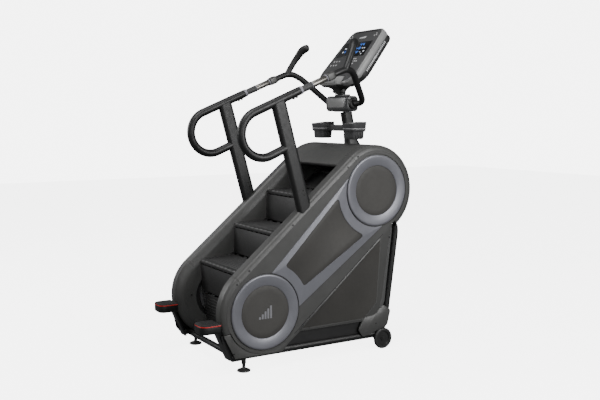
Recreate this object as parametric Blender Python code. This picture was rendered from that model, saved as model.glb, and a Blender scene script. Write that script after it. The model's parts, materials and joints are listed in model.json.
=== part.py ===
"""Stair climber: a driven staircase of hinged treads and risers between two side housings,
with handrails, a console on a mast, cup holders and footrests.

Metres, +Z up, +X to the user's right, +Y the way the user faces. The origin is the centre of the
footprint, on the floor. Side outlines are drawn as (y, z) points and extruded along X.
"""

import math

import bmesh
import bpy
from mathutils import Vector

for old in list(bpy.data.objects):
    bpy.data.objects.remove(old, do_unlink=True)

# ---------------------------------------------------------------- driving dimensions

STEP_RISE = 0.203
STEP_RUN = 0.239
STEP_COUNT = 8
TREAD_DEPTH = 0.232
RISER_HEIGHT = 0.200
SPROCKET_PITCH_R = 0.119
FIRST_HINGE = 0.243            # hinge of tread_2 this far up the straight run

PITCH = math.hypot(STEP_RISE, STEP_RUN)
INCLINE = math.atan2(STEP_RISE, STEP_RUN)
SHAFT_SPAN = (STEP_COUNT * PITCH - 2 * math.pi * SPROCKET_PITCH_R) / 2
BELT_DROP = 0.020              # the belt's centre line lies this far under the line of the discs

LOWER_DISC = (-0.315, 0.336)   # (y, z) of the lower disc cover
DISC_SPAN = 1.019
BODY_R = 0.278                 # round ends of the side housings
RING_R = 0.2165
SKIRT_R = 0.240                # below the side plates the housing is cut back to this, for tube and lower panel
SKIRT_X = 0.303                # outside this x
FRAME_SHIFT = -0.0148          # brings the footprint's centre to the origin

PANEL_HALF = 0.268             # treads and risers reach this far each side
HOUSING_IN = 0.2705
HOUSING_OUT = 0.372
SKIN = 0.004
TREAD_T = 0.022
RISER_T = 0.014
GAP = 0.0003                   # between pieces that touch

RAIL_X = 0.343
RAIL_R = 0.025
BAR_R = 0.0195
RAIL_SLOPE = math.radians(22.6)

# ---------------------------------------------------------------- materials


def material(name, colour, roughness, metallic=0.0):
    made = bpy.data.materials.new(name)
    made.use_nodes = True
    shader = made.node_tree.nodes["Principled BSDF"]
    shader.inputs["Base Color"].default_value = (*colour, 1.0)
    shader.inputs["Roughness"].default_value = roughness
    shader.inputs["Metallic"].default_value = metallic
    return made


GREY_PLASTIC = material("grey_plastic", (0.085, 0.085, 0.083), 0.5)
DARK_PLASTIC = material("dark_plastic", (0.025, 0.025, 0.026), 0.55)
WARM_PANEL = material("warm_panel", (0.045, 0.044, 0.042), 0.55)
SILVER = material("silver_paint", (0.22, 0.22, 0.24), 0.4, 0.4)
BLACK_PAINT = material("black_paint", (0.012, 0.012, 0.013), 0.4)
STEEL = material("steel", (0.35, 0.35, 0.36), 0.4, 0.9)
RUBBER = material("rubber", (0.02, 0.02, 0.02), 0.8)
SCREEN = material("screen", (0.01, 0.012, 0.016), 0.15)
RED = material("red_plastic", (0.6, 0.03, 0.03), 0.4)

# ---------------------------------------------------------------- making and joining solids

machine = bpy.data.objects.new("machine", None)
machine.location = (0.0, FRAME_SHIFT, 0.0)
bpy.context.scene.collection.objects.link(machine)


def finish(name, bm, mat, pivot=(0.0, 0.0, 0.0)):
    """Make the mesh an object whose origin is the pivot, so that a moving piece turns about its joint."""
    bmesh.ops.remove_doubles(bm, verts=bm.verts, dist=1e-7)
    bmesh.ops.recalc_face_normals(bm, faces=bm.faces)
    if bm.calc_volume(signed=True) < 0:
        bmesh.ops.reverse_faces(bm, faces=bm.faces)
    bmesh.ops.translate(bm, vec=-Vector(pivot), verts=bm.verts)
    mesh = bpy.data.meshes.new(name)
    bm.to_mesh(mesh)
    bm.free()
    mesh.materials.append(mat)
    mesh.shade_smooth()
    mesh.set_sharp_from_angle(angle=math.radians(35))
    made = bpy.data.objects.new(name, mesh)
    made.location = pivot
    made.parent = machine
    bpy.context.scene.collection.objects.link(made)
    return made


def loft(name, rings, mat, pivot=(0.0, 0.0, 0.0)):
    """A closed solid through rings of points, each ring with the same number of points."""
    bm = bmesh.new()
    rows = [[bm.verts.new(point) for point in ring] for ring in rings]
    count = len(rows[0])
    for low, high in zip(rows, rows[1:]):
        for i in range(count):
            j = (i + 1) % count
            bm.faces.new((low[i], low[j], high[j], high[i]))
    bm.faces.new(rows[0][::-1])
    bm.faces.new(rows[-1])
    return finish(name, bm, mat, pivot)


def prism(name, outline, x0, x1, mat, pivot=(0.0, 0.0, 0.0)):
    """Extrude a (y, z) outline along X."""
    return loft(name, [[(x, y, z) for y, z in outline] for x in (x0, x1)], mat, pivot)


def arc(centre, radius, start, end, steps):
    """Points on a circle from start to end, in degrees."""
    angles = [math.radians(start + (end - start) * i / steps) for i in range(steps + 1)]
    return [(centre[0] + radius * math.cos(a), centre[1] + radius * math.sin(a)) for a in angles]


def disc_x(name, centre, radii, xs, mat, sides=32, pivot=None):
    """A turned solid about an X axis through centre, one radius at each x."""
    rings = [[(x, y, z) for y, z in arc(centre, r, 0, 360 - 360 / sides, sides - 1)] for x, r in zip(xs, radii)]
    return loft(name, rings, mat, pivot or (0.0, 0.0, 0.0))


def sweep(name, path, section, mat, pivot=(0.0, 0.0, 0.0)):
    """Carry a section of (side, up) offsets along a 3-D path. Each scale is 1 unless path points hold a fourth value."""
    points = [Vector(p[:3]) for p in path]
    scales = [p[3] if len(p) > 3 else 1.0 for p in path]
    tangents = []
    for i in range(len(points)):
        back = points[max(i - 1, 0)]
        ahead = points[min(i + 1, len(points) - 1)]
        tangents.append((ahead - back).normalized())
    side = tangents[0].orthogonal() if abs(tangents[0].x) > 0.9 else Vector((1, 0, 0))
    rings = []
    for point, tangent, scale in zip(points, tangents, scales):
        side = (side - tangent * side.dot(tangent)).normalized()
        up = tangent.cross(side)
        rings.append([point + (side * a + up * b) * scale for a, b in section])
    return loft(name, rings, mat, pivot)


def circle_section(radius, sides=12):
    return arc((0.0, 0.0), radius, 0, 360 - 360 / sides, sides - 1)


def oval_section(half_a, half_b, steps=4):
    """A flat oval: round ends of radius half_a on a strip half_b long each way."""
    straight = half_b - half_a
    return arc((0, straight), half_a, 0, 180, 2 * steps) + arc((0, -straight), half_a, 180, 360, 2 * steps)


def rounded(half_a, half_b, radius, steps=3):
    """A rounded rectangle of (a, b) points."""
    points = []
    for sa, sb, start in ((1, 1, 0), (-1, 1, 90), (-1, -1, 180), (1, -1, 270)):
        points += arc((sa * (half_a - radius), sb * (half_b - radius)), radius, start, start + 90, steps)
    return points


def combine(target, other, operation):
    """Join or cut target with other, which stays in the scene as a hidden helper."""
    other.hide_render = True
    other.display_type = "WIRE"
    boolean = target.modifiers.new(operation.lower() + "_" + other.name, "BOOLEAN")
    boolean.operation = operation
    boolean.object = other
    return target


def smooth(points, steps=4):
    """A smooth curve through the points (Catmull-Rom), with steps stretches between two of them."""
    ends = [2 * Vector(points[0]) - Vector(points[1])] + [Vector(p) for p in points]
    ends.append(2 * Vector(points[-1]) - Vector(points[-2]))
    curve = []
    for a, b, c, d in zip(ends, ends[1:], ends[2:], ends[3:]):
        for i in range(steps):
            t = i / steps
            curve.append(0.5 * (2 * b + (c - a) * t + (2 * a - 5 * b + 4 * c - d) * t * t
                                + (3 * b - a - 3 * c + d) * t ** 3))
    return curve + [Vector(points[-1])]


# ---------------------------------------------------------------- places along the incline


def on_incline(along, out):
    """(y, z) at a distance along the line of the discs, and out from it towards the user."""
    c, s = math.cos(INCLINE), math.sin(INCLINE)
    return (LOWER_DISC[0] + along * c - out * s, LOWER_DISC[1] + along * s + out * c)


UPPER_DISC = on_incline(DISC_SPAN, 0.0)
LOWER_SHAFT = on_incline(0.0, -BELT_DROP)
UPPER_SHAFT = on_incline(SHAFT_SPAN, -BELT_DROP)
TANGENT = math.degrees(INCLINE) + 90.0     # direction of "out" in the (y, z) plane


def stadium(inset, bottom_end=LOWER_DISC, top_end=UPPER_DISC, radius=BODY_R, steps=14):
    r = radius - inset
    return arc(bottom_end, r, TANGENT, TANGENT + 180, steps) + arc(top_end, r, TANGENT - 180, TANGENT, steps)


def hinge(s):
    """(along, out) of a step hinge at distance s along the belt from the lower tangent point."""
    r, span = SPROCKET_PITCH_R, SHAFT_SPAN
    wrap = math.pi * r
    s = (s + wrap + span) % (2 * (span + wrap)) - (wrap + span)
    if s >= span:
        a = (s - span) / r
        point = (span + r * math.sin(a), r * math.cos(a))
    elif s >= 0:
        point = (s, r)
    elif s >= -wrap:
        point = (-r * math.sin(-s / r), r * math.cos(s / r))
    else:
        point = (-s - wrap, -r)
    return point[0], point[1] - BELT_DROP


def hinge_place(number):
    """(y, z) of the hinge that tread `number` turns on."""
    return on_incline(*hinge(FIRST_HINGE + (number - 2) * PITCH))


def nosing_place(number):
    """(y, z) of the nosing where tread and riser `number` meet: the two panels set it between their hinges."""
    low, high = Vector(hinge_place(number - 1)), Vector(hinge_place(number))
    base = high - low
    along = (RISER_HEIGHT ** 2 - TREAD_DEPTH ** 2 + base.length_squared) / (2 * base.length)
    height = math.sqrt(RISER_HEIGHT ** 2 - along ** 2)
    unit = base.normalized()
    return tuple(low + unit * along + Vector((-unit.y, unit.x)) * height)


def panel(root, tip, profile, inside):
    """Lay a profile of (along, in) points from root to tip. inside is +1 where the back is on the left."""
    e = (Vector(tip) - Vector(root)).normalized()
    back = Vector((-e.y, e.x)) * inside
    return [tuple(Vector(root) + e * a + back * b) for a, b in profile]


TREAD_PROFILE = [(0.006, 0.0), (TREAD_DEPTH - 0.008, 0.0), (TREAD_DEPTH, 0.006), (TREAD_DEPTH, TREAD_T - 0.005),
                 (TREAD_DEPTH - 0.006, TREAD_T), (0.045, TREAD_T), (0.018, 0.011), (0.006, 0.006)]
RISER_TOP = RISER_HEIGHT - 0.033
RISER_PROFILE = [(0.010, 0.0), (RISER_TOP, 0.0), (RISER_TOP, 0.004), (RISER_TOP - 0.022, RISER_T),
                 (0.010, RISER_T)]


def tread_outline(number):
    return panel(hinge_place(number), nosing_place(number), TREAD_PROFILE, 1)


def riser_outline(number):
    return panel(hinge_place(number - 1), nosing_place(number), RISER_PROFILE, -1)


# ---------------------------------------------------------------- the steps, chains and drive


def make_steps():
    for number in range(1, 7):
        prism(f"tread_{number}", tread_outline(number), -PANEL_HALF, PANEL_HALF, DARK_PLASTIC,
              pivot=(0.0, *hinge_place(number)))
        prism(f"riser_{number}", riser_outline(number), -PANEL_HALF, PANEL_HALF, DARK_PLASTIC,
              pivot=(0.0, *hinge_place(number - 1)))
    for number in (7, 8):
        step = prism(f"step_{number}", tread_outline(number), -PANEL_HALF, PANEL_HALF, DARK_PLASTIC)
        link_end = (RISER_HEIGHT - 0.008, 0.002)
        profile = [(0.010, 0.0), link_end, (RISER_HEIGHT - 0.008, RISER_T), (0.010, RISER_T)]
        back = prism(f"step_{number}_riser", panel(hinge_place(number - 1), nosing_place(number), profile, -1),
                     -PANEL_HALF, PANEL_HALF, DARK_PLASTIC)
        combine(step, back, "UNION")


CHAIN_IN = 0.2715
CHAIN_OUT = 0.2815
CHAIN_HALF = 0.007
SHAFT_R = 0.017


def make_chain(name, side):
    outer = stadium(0, LOWER_SHAFT, UPPER_SHAFT, SPROCKET_PITCH_R + CHAIN_HALF)
    inner = stadium(0, LOWER_SHAFT, UPPER_SHAFT, SPROCKET_PITCH_R - CHAIN_HALF)
    band(name, outer, inner, side * CHAIN_IN, side * CHAIN_OUT, STEEL)


def band(name, outer, inner, x0, x1, mat):
    """A closed strip between two outlines with the same number of points."""
    bm = bmesh.new()
    loops = [[bm.verts.new((x, y, z)) for y, z in outline] for x in (x0, x1) for outline in (outer, inner)]
    a, b, c, d = loops
    count = len(outer)
    for i in range(count):
        j = (i + 1) % count
        bm.faces.new((a[i], a[j], b[j], b[i]))
        bm.faces.new((c[i], c[j], d[j], d[i]))
        bm.faces.new((a[i], a[j], c[j], c[i]))
        bm.faces.new((b[i], b[j], d[j], d[i]))
    return finish(name, bm, mat)


PLATE_IN = 0.284
PLATE_OUT = 0.290
PULLEY_X = (0.318, 0.336)
PULLEY_R = 0.080
SMALL_PULLEY_R = 0.030
FLYWHEEL_AXIS = on_incline(0.50, -BELT_DROP)
FLYWHEEL_R = 0.080


def make_shaft(name, centre, drive_end):
    """A cross shaft with a sprocket at each end; the drive end also carries the belt pulley."""
    sprocket_r = SPROCKET_PITCH_R - CHAIN_HALF - 0.0013
    disc_in, disc_out = 0.2725, 0.2805
    end = PULLEY_X[1] + 0.006 if drive_end else PLATE_OUT + 0.008
    stations = [(-PLATE_OUT - 0.008, SHAFT_R), (-disc_out, SHAFT_R), (-disc_out, sprocket_r),
                (-disc_in, sprocket_r), (-disc_in, SHAFT_R), (disc_in, SHAFT_R), (disc_in, sprocket_r),
                (disc_out, sprocket_r), (disc_out, SHAFT_R)]
    if drive_end:
        stations += [(PULLEY_X[0], SHAFT_R), (PULLEY_X[0], PULLEY_R), (PULLEY_X[1], PULLEY_R), (PULLEY_X[1], SHAFT_R)]
    stations.append((end, SHAFT_R))
    disc_x(name, centre, [r for _, r in stations], [x for x, _ in stations], STEEL, pivot=(0.0, *centre))


def make_drive():
    make_shaft("lower_shaft", LOWER_SHAFT, False)
    make_shaft("upper_shaft", UPPER_SHAFT, True)
    stations = [(0.112, 0.012), (0.294, 0.012), (0.294, FLYWHEEL_R), (0.312, FLYWHEEL_R), (0.312, 0.012),
                (PULLEY_X[0], 0.012), (PULLEY_X[0], SMALL_PULLEY_R), (PULLEY_X[1], SMALL_PULLEY_R)]
    disc_x("flywheel", FLYWHEEL_AXIS, [r for _, r in stations], [x for x, _ in stations], STEEL,
           pivot=(0.0, *FLYWHEEL_AXIS))
    alternator = disc_x("alternator", FLYWHEEL_AXIS, (0.052, 0.066, 0.066, 0.052), (-0.085, -0.07, 0.095, 0.11), STEEL, sides=24)
    rear, front = (on_incline(0.50 + d, -0.080) for d in (-0.030, 0.030))
    low_front, low_rear = (on_incline(0.50 + d, -0.112) for d in (0.030, -0.030))
    beam = prism("alternator_beam", [rear, front, low_front, low_rear], GAP - PLATE_IN, PLATE_IN - GAP, STEEL)
    combine(alternator, beam, "UNION")
    outer, inner = [], []
    for extra, line in ((0.0045, outer), (0.0012, inner)):
        big, small = PULLEY_R + extra, SMALL_PULLEY_R + extra
        gap = math.dist(UPPER_SHAFT, FLYWHEEL_AXIS)
        lean = math.degrees(math.acos((big - small) / gap))
        up = math.degrees(INCLINE)
        line += arc(UPPER_SHAFT, big, up - 180 + lean, up + 180 - lean, 20)
        line += arc(FLYWHEEL_AXIS, small, up + 180 - lean, up + 180 + lean, 12)
    band("drive_belt", outer, inner, PULLEY_X[0] + 0.001, PULLEY_X[1] - 0.001, RUBBER)
    for side, name in ((-1, "left"), (1, "right")):
        make_chain(f"step_chain_{name}", side)


# ---------------------------------------------------------------- frame


TUBE_X = 0.334
TUBE_R = 0.0225


def base_tube(name, side):
    """The floor tube, bent up along the front of the machine to meet the side housing."""
    x = side * TUBE_X
    path = [(x, -0.515, 0.092), (x, 0.46, 0.092)]
    path += [(x, y, z) for y, z in arc((0.46, 0.192), 0.100, -90, -8.5, 6)][1:]
    path += [(x, 0.6275, 0.680), (x, 0.632, 0.735), (x, 0.620, 0.775)]
    tube = sweep(name, path, circle_section(TUBE_R), BLACK_PAINT)
    cope = disc_x(name + "_cope", UPPER_DISC, (BODY_R + 0.0012,) * 2, (side * 0.300, side * 0.370), BLACK_PAINT, sides=64)
    combine(tube, cope, "DIFFERENCE")
    return tube


WHEEL_AXIS = (0.522, 0.0655)
WHEEL_R = 0.0655
FOOT_PLACE = (0.334, -0.437)


def make_frame():
    frame = base_tube("base_frame", 1)
    combine(frame, base_tube("base_tube_left", -1), "UNION")
    for name, y in (("cross_tube_rear", -0.488), ("cross_tube_front", 0.430)):
        path = [(-TUBE_X, y, 0.092), (TUBE_X, y, 0.092)]
        combine(frame, sweep(name, path, circle_section(0.018), BLACK_PAINT), "UNION")
    for side, name in ((-1, "left"), (1, "right")):
        outline = [(0.450, 0.085), (0.500, 0.048), (0.540, 0.048), (0.556, 0.150)]
        bracket = prism(f"wheel_bracket_{name}", outline, side * 0.326, side * 0.338, BLACK_PAINT)
        axle = disc_x(f"wheel_axle_{name}", WHEEL_AXIS, (0.009, 0.009), (side * 0.330, side * 0.3795),
                      BLACK_PAINT, sides=16)
        outline = arc(LOWER_DISC, SKIRT_R + 0.002, 206, 232, 4)
        outline += [(-0.440, 0.069), (-0.521, 0.069), (-0.562, 0.122), (-0.586, 0.224)]
        corner = prism(f"rear_corner_{name}", outline, side * 0.3445, side * 0.3525, BLACK_PAINT)
        combine(frame, bracket, "UNION")
        combine(frame, axle, "UNION")
        combine(frame, corner, "UNION")


def make_side(side, name):
    plate = prism(f"side_plate_{name}", stadium(0.030, steps=10), side * PLATE_IN, side * PLATE_OUT, STEEL)
    for label, centre, r in (("low", LOWER_SHAFT, SHAFT_R), ("high", UPPER_SHAFT, SHAFT_R), ("fly", FLYWHEEL_AXIS, 0.012)):
        if label == "fly" and side < 0:
            continue
        hole = disc_x(f"hole_{label}_{name}", centre, (r + 0.0006,) * 2, (side * (PLATE_IN - 0.01), side * (PLATE_OUT + 0.01)),
                      STEEL)
        combine(plate, hole, "DIFFERENCE")

    rim = 0.020
    sections = [(HOUSING_IN, 0.0), (HOUSING_OUT - rim, 0.0), (HOUSING_OUT - 0.006, 0.010), (HOUSING_OUT, rim)]
    housing = loft(f"side_housing_{name}",
                   [[(side * x, y, z) for y, z in stadium(inset)] for x, inset in sections], GREY_PLASTIC)
    cavity = prism(f"housing_cavity_{name}", stadium(0.016), side * (HOUSING_IN + SKIN), side * (HOUSING_OUT - 0.012),
                   GREY_PLASTIC)
    combine(housing, cavity, "DIFFERENCE")
    window = prism(f"housing_window_{name}", stadium(0, LOWER_SHAFT, UPPER_SHAFT, 0.150, steps=10), side * (HOUSING_IN - 0.01),
                   side * (HOUSING_IN + SKIN + 0.005), GREY_PLASTIC)
    combine(housing, window, "DIFFERENCE")
    far = 0.40
    outline = arc(LOWER_DISC, SKIRT_R, 203, TANGENT + 180, 12) + [on_incline(DISC_SPAN * 0.985, -SKIRT_R)]
    outline += [on_incline(DISC_SPAN * 0.985, -far), on_incline(0.0, -far), (-0.62, 0.0), (-0.62, 0.215)]
    skirt_cut = prism(f"skirt_cut_{name}", outline, side * SKIRT_X, side * (HOUSING_OUT + 0.02), GREY_PLASTIC)
    combine(housing, skirt_cut, "DIFFERENCE")
    socket = sweep(f"post_socket_{name}", [post_axis(-0.075, side), post_axis(0.10, side)],
                   oval_section(POST_HALF_X + 0.002, POST_HALF_Y + 0.002), GREY_PLASTIC)
    combine(housing, socket, "DIFFERENCE")

    for label, centre in (("lower", LOWER_DISC), ("upper", UPPER_DISC)):
        x = side * (HOUSING_OUT + GAP)
        disc_x(f"{label}_disc_{name}", centre, (RING_R, RING_R - 0.004), (x, side * 0.380), SILVER, sides=40)
    make_trim(side, name)
    make_lower_panel(side, name)
    make_footrest(side, name)
    make_foot_and_wheel(side, name)


def make_trim(side, name):
    """The long plate between the discs: straight edges, with a hollow round each disc."""
    clear = RING_R + 0.006
    half = 0.160
    reach = math.degrees(math.asin(half / clear))
    up = math.degrees(INCLINE)
    outline = arc(LOWER_DISC, clear, up + reach, up - reach, 12)
    outline += arc(UPPER_DISC, clear, up + 180 + reach, up + 180 - reach, 12)
    prism(f"side_trim_{name}", outline, side * (HOUSING_OUT + GAP), side * (HOUSING_OUT + 0.004), SILVER)


def make_lower_panel(side, name):
    """The thin lower side cover: skirt under the lower disc, three-cornered panel and front flange."""
    clear = SKIRT_R + 0.0015
    outline = arc(LOWER_DISC, clear, 205, TANGENT + 180, 10)
    outline += [on_incline(DISC_SPAN * 0.965, -clear), (0.584, 0.745), (0.528, 0.300), (0.512, 0.250), (0.470, 0.205),
                (0.430, 0.190), (-0.080, 0.190), (-0.160, 0.128), (-0.200, 0.086), (-0.505, 0.086), (-0.576, 0.226)]
    prism(f"lower_panel_{name}", outline, side * 0.3605, side * 0.3685, WARM_PANEL)


def make_footrest(side, name):
    """A D-shaped pad behind each housing, on a slanted bracket that reaches down beside the floor tube."""
    centre_x, half = 0.3035, 0.0635
    pad = []
    front, rear = -0.5938, -0.710
    corner = 0.040
    pad += [(centre_x - half, front), (centre_x - half, rear + corner)]
    pad += arc((centre_x - half + corner, rear + corner), corner, 180, 270, 5)[1:]
    pad += arc((centre_x + half - corner, rear + corner), corner, 270, 360, 5)
    pad += [(centre_x + half, front)]
    rings = [[(side * x, y, z) for x, y in pad] for z in (0.256, 0.300)]
    rest = loft(f"footrest_{name}", rings, BLACK_PAINT)
    outline = [(-0.604, 0.258), (-0.5945, 0.258), (-0.5945, 0.250), (-0.519, 0.075), (-0.531, 0.075), (-0.611, 0.258)]
    bracket = prism(f"footrest_bracket_{name}", outline, side * 0.309, side * 0.342, BLACK_PAINT)
    combine(rest, bracket, "UNION")


def make_foot_and_wheel(side, name):
    x, y = side * FOOT_PLACE[0], FOOT_PLACE[1]
    stations = [(0.0, 0.034), (0.004, 0.036), (0.010, 0.030), (0.016, 0.012), (0.018, 0.006), (0.030, 0.006),
                (0.034, 0.011), (0.046, 0.011), (0.050, 0.006), (0.0695, 0.006)]
    rings = [[(x + r * math.cos(a), y + r * math.sin(a), z) for a in (math.radians(18 * i) for i in range(20))]
             for z, r in stations]
    loft(f"levelling_foot_{name}", rings, RUBBER, pivot=(x, y, 0.0))
    inner, outer, bore = 0.3585, 0.3800, 0.0096
    tread = [(inner, WHEEL_R - 0.006), (inner + 0.004, WHEEL_R), (outer - 0.004, WHEEL_R), (outer, WHEEL_R - 0.006)]
    wheel = disc_x(f"wheel_{name}", WHEEL_AXIS, [r for _, r in tread], [side * v for v, _ in tread], RUBBER,
                   pivot=(0.0, *WHEEL_AXIS))
    hole = disc_x(f"wheel_bore_{name}", WHEEL_AXIS, (bore, bore), (side * 0.350, side * 0.390), RUBBER, sides=16)
    combine(wheel, hole, "DIFFERENCE")


# ---------------------------------------------------------------- covers


def shell(name, centre_line, thickness, half_width, mat):
    """A bent sheet between the housings, from an open (y, z) line, thickened inwards (to its right)."""
    inner = []
    for i, point in enumerate(centre_line):
        ahead = Vector(centre_line[min(i + 1, len(centre_line) - 1)]) - Vector(centre_line[max(i - 1, 0)])
        normal = Vector((ahead.y, -ahead.x)).normalized()
        inner.append(tuple(Vector(point) + normal * thickness))
    return prism(name, list(centre_line) + inner[::-1], -half_width, half_width, mat)


HOOD_LIP = 0.939
HOOD_END = 50.0
MAST_LOW = (0.560, 1.128)
MAST_HIGH = (0.4875, 1.476)


def make_covers():
    lip = on_incline(HOOD_LIP, BODY_R - 0.0005)
    line = [on_incline(HOOD_LIP, BODY_R - 0.022), lip] + arc(UPPER_DISC, BODY_R - 0.0005, TANGENT, HOOD_END, 10)
    hood = shell("top_hood", line, 0.004, PANEL_HALF, GREY_PLASTIC)
    hole = sweep("mast_hole", mast_path(0.0, 0.2), oval_section(0.029, 0.044), GREY_PLASTIC)
    combine(hood, hole, "DIFFERENCE")
    line = arc(UPPER_DISC, BODY_R - 0.0005, HOOD_END - 0.3, -62.5, 14) + [(0.560, 0.300), (0.548, 0.240), (0.500, 0.150)]
    shell("front_cover", line, 0.004, PANEL_HALF, GREY_PLASTIC)


def mast_path(low_extra, top_extra):
    low, high = Vector(MAST_LOW), Vector(MAST_HIGH)
    unit = (high - low).normalized()
    ends = (low - unit * low_extra, high + unit * top_extra)
    return [(0.0, p.x, p.y) for p in ends]


HUB = (0.455, 1.526)
HUB_R = 0.048
HUB_HALF = 0.105


def make_mast():
    mast = sweep("mast", mast_path(0.0, -0.002), oval_section(0.0265, 0.0405), BLACK_PAINT)
    beam = sweep("mast_beam", [(GAP - HOUSING_IN, 0.561, 1.122), (HOUSING_IN - GAP, 0.561, 1.122)], circle_section(0.020),
                 BLACK_PAINT)
    combine(mast, beam, "UNION")
    y, z = HUB
    stations = [(-HUB_HALF - 0.018, 0.030), (-HUB_HALF, 0.044), (-0.06, HUB_R), (0.06, HUB_R), (HUB_HALF, 0.044),
                (HUB_HALF + 0.018, 0.030)]
    hub = disc_x("hub_housing", HUB, [r for _, r in stations], [x for x, _ in stations], GREY_PLASTIC, sides=24)
    neck = prism("hub_neck", [(y - 0.028, z + 0.02), (y + 0.028, z + 0.02), (y + 0.034, 1.5865), (y - 0.022, 1.5865)],
                 -0.045, 0.045, GREY_PLASTIC)
    combine(hub, neck, "UNION")
    seat = sweep("hub_seat", mast_path(0.0, 0.0), oval_section(0.029, 0.043), GREY_PLASTIC)
    combine(hub, seat, "DIFFERENCE")


CUP_PLACE = (0.180, 0.427)


def make_cup_holder():
    """Two rounded-square cups on a cross arm that is clamped to the mast's near face."""
    arm_y = (0.428, 0.474)
    outline = [(arm_y[0], 1.352), (arm_y[1], 1.352), (arm_y[1], 1.392), (arm_y[0], 1.392)]
    holder = prism("cup_holder", outline, -0.135, 0.135, DARK_PLASTIC)
    saddle = sweep("cup_saddle", mast_path(0.0, 0.0), oval_section(0.0268, 0.0408), DARK_PLASTIC)
    combine(holder, saddle, "DIFFERENCE")
    for side, name in ((-1, "left"), (1, "right")):
        levels = ((1.304, 0.046), (1.312, 0.052), (1.412, 0.062))
        rings = [[(side * CUP_PLACE[0] + a, CUP_PLACE[1] + b, z) for a, b in rounded(h, h, 0.028)] for z, h in levels]
        combine(holder, loft(f"cup_{name}", rings, DARK_PLASTIC), "UNION")
        levels = ((1.312, 0.045), (1.430, 0.057))
        rings = [[(side * CUP_PLACE[0] + a, CUP_PLACE[1] + b, z) for a, b in rounded(h, h, 0.025)] for z, h in levels]
        combine(holder, loft(f"cup_inside_{name}", rings, DARK_PLASTIC), "DIFFERENCE")


# ---------------------------------------------------------------- console

FACE_LOW = Vector((0.0, 0.4345, 1.730))
FACE_TILT = math.radians(50.3)
FACE_UP = Vector((0.0, math.cos(FACE_TILT), math.sin(FACE_TILT)))
FACE_OUT = Vector((0.0, -FACE_UP.z, FACE_UP.y))
FACE_TOP = 0.361               # the console's top and bottom edges, measured up the face from FACE_LOW
FACE_BOTTOM = -0.100
BUTTON_SPOT = Vector((0.0, 0.374, 1.696))


def on_face(a, b, out):
    """A point on the console: a to the right, b up the face, out towards the user."""
    return FACE_LOW + Vector((a, 0, 0)) + FACE_UP * b + FACE_OUT * out


def face_outline(inset, bottom=FACE_BOTTOM):
    """The console's outline: wider at the bottom, with wide lower corners and tighter upper ones."""
    wide, middle, narrow = 0.207 - inset, 0.191 - inset, 0.177 - inset
    low, top = 0.095, 0.050
    right = arc((wide - low, bottom + inset + low), low, 270, 356, 6)
    right += [(middle, 0.190)] + arc((narrow - top, FACE_TOP - inset - top), top, 4, 90, 5)
    return right + [(-a, b) for a, b in right[::-1]]


def make_console():
    levels = ((0.0, 0.006, FACE_BOTTOM), (-0.006, 0.0, FACE_BOTTOM), (-0.078, 0.0, -0.066), (-0.088, 0.018, -0.030))
    rings = [[on_face(a, b, out) for a, b in face_outline(inset, bottom)] for out, inset, bottom in levels]
    console = loft("console_shell", rings, GREY_PLASTIC)
    neck = [(0.418, 1.587), (0.466, 1.587), (0.474, 1.660), (0.440, 1.670), (0.412, 1.650)]
    combine(console, prism("console_neck", neck, -0.038, 0.038, GREY_PLASTIC), "UNION")
    combine(console, tray_solid("console_tray", 0.0), "UNION")
    combine(console, button_solid("stop_well", 0.0160, -0.0075, 0.03), "DIFFERENCE")
    rings = [[on_face(a, b, out) for a, b in face_outline(0.010)] for out in (GAP, 0.004)]
    face = loft("console_face", rings, SCREEN)
    combine(face, tray_solid("face_cut", 0.001), "DIFFERENCE")
    button_solid("stop_button", 0.0150, -0.0045, 0.0060, pivot=BUTTON_SPOT)


def tray_solid(name, grow):
    """The ledge in front of the console's lower end, wider at its back."""
    levels = ((1.637, 0.012), (1.651, 0.0), (1.688, 0.0), (1.696, 0.006))
    rings = []
    for z, inset in levels:
        half, front = 0.100 - inset + grow, 0.345 + inset - grow
        rings.append([(half, front, z), (half + 0.018, 0.386, z), (half, 0.415, z), (-half, 0.415, z),
                      (-half - 0.018, 0.386, z), (-half, front, z)])
    return loft(name, rings, GREY_PLASTIC)


def button_solid(name, radius, low, high, pivot=(0.0, 0.0, 0.0)):
    """A round upright solid on the ledge, from low to high above its top."""
    rings = [[BUTTON_SPOT + Vector((a, b, z)) for a, b in circle_section(radius, 20)] for z in (low, high)]
    return loft(name, rings, RED, pivot)


# ---------------------------------------------------------------- handrails

POST_FOOT = (-0.0515, 0.946)
POST_LEAN = math.radians(15.5)
POST_LENGTH = 0.585
POST_HALF_X = 0.0245
POST_HALF_Y = 0.0465
RAIL_COLLAR = (-0.072, 1.591)
LOOP_CENTRE = (-0.313, 1.346)
LOOP_R = 0.133


def post_axis(distance, side):
    return (side * RAIL_X, POST_FOOT[0] - distance * math.sin(POST_LEAN), POST_FOOT[1] + distance * math.cos(POST_LEAN))


def rail_point(distance, side=1, out=0.0):
    """A point on the sloping grip line, measured forward from the collar."""
    c, s = math.cos(RAIL_SLOPE), math.sin(RAIL_SLOPE)
    return (side * RAIL_X, RAIL_COLLAR[0] + distance * c - out * s, RAIL_COLLAR[1] + distance * s + out * c)


def loop_path(side):
    slope = math.degrees(RAIL_SLOPE)
    loop = arc(LOOP_CENTRE, LOOP_R, slope + 90, slope + 270, 12)
    end = (loop[-1][0] + 0.110 * math.cos(RAIL_SLOPE), loop[-1][1] + 0.110 * math.sin(RAIL_SLOPE))
    return [rail_point(0.0, side)] + [(side * RAIL_X, y, z) for y, z in loop + [end]]


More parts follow.
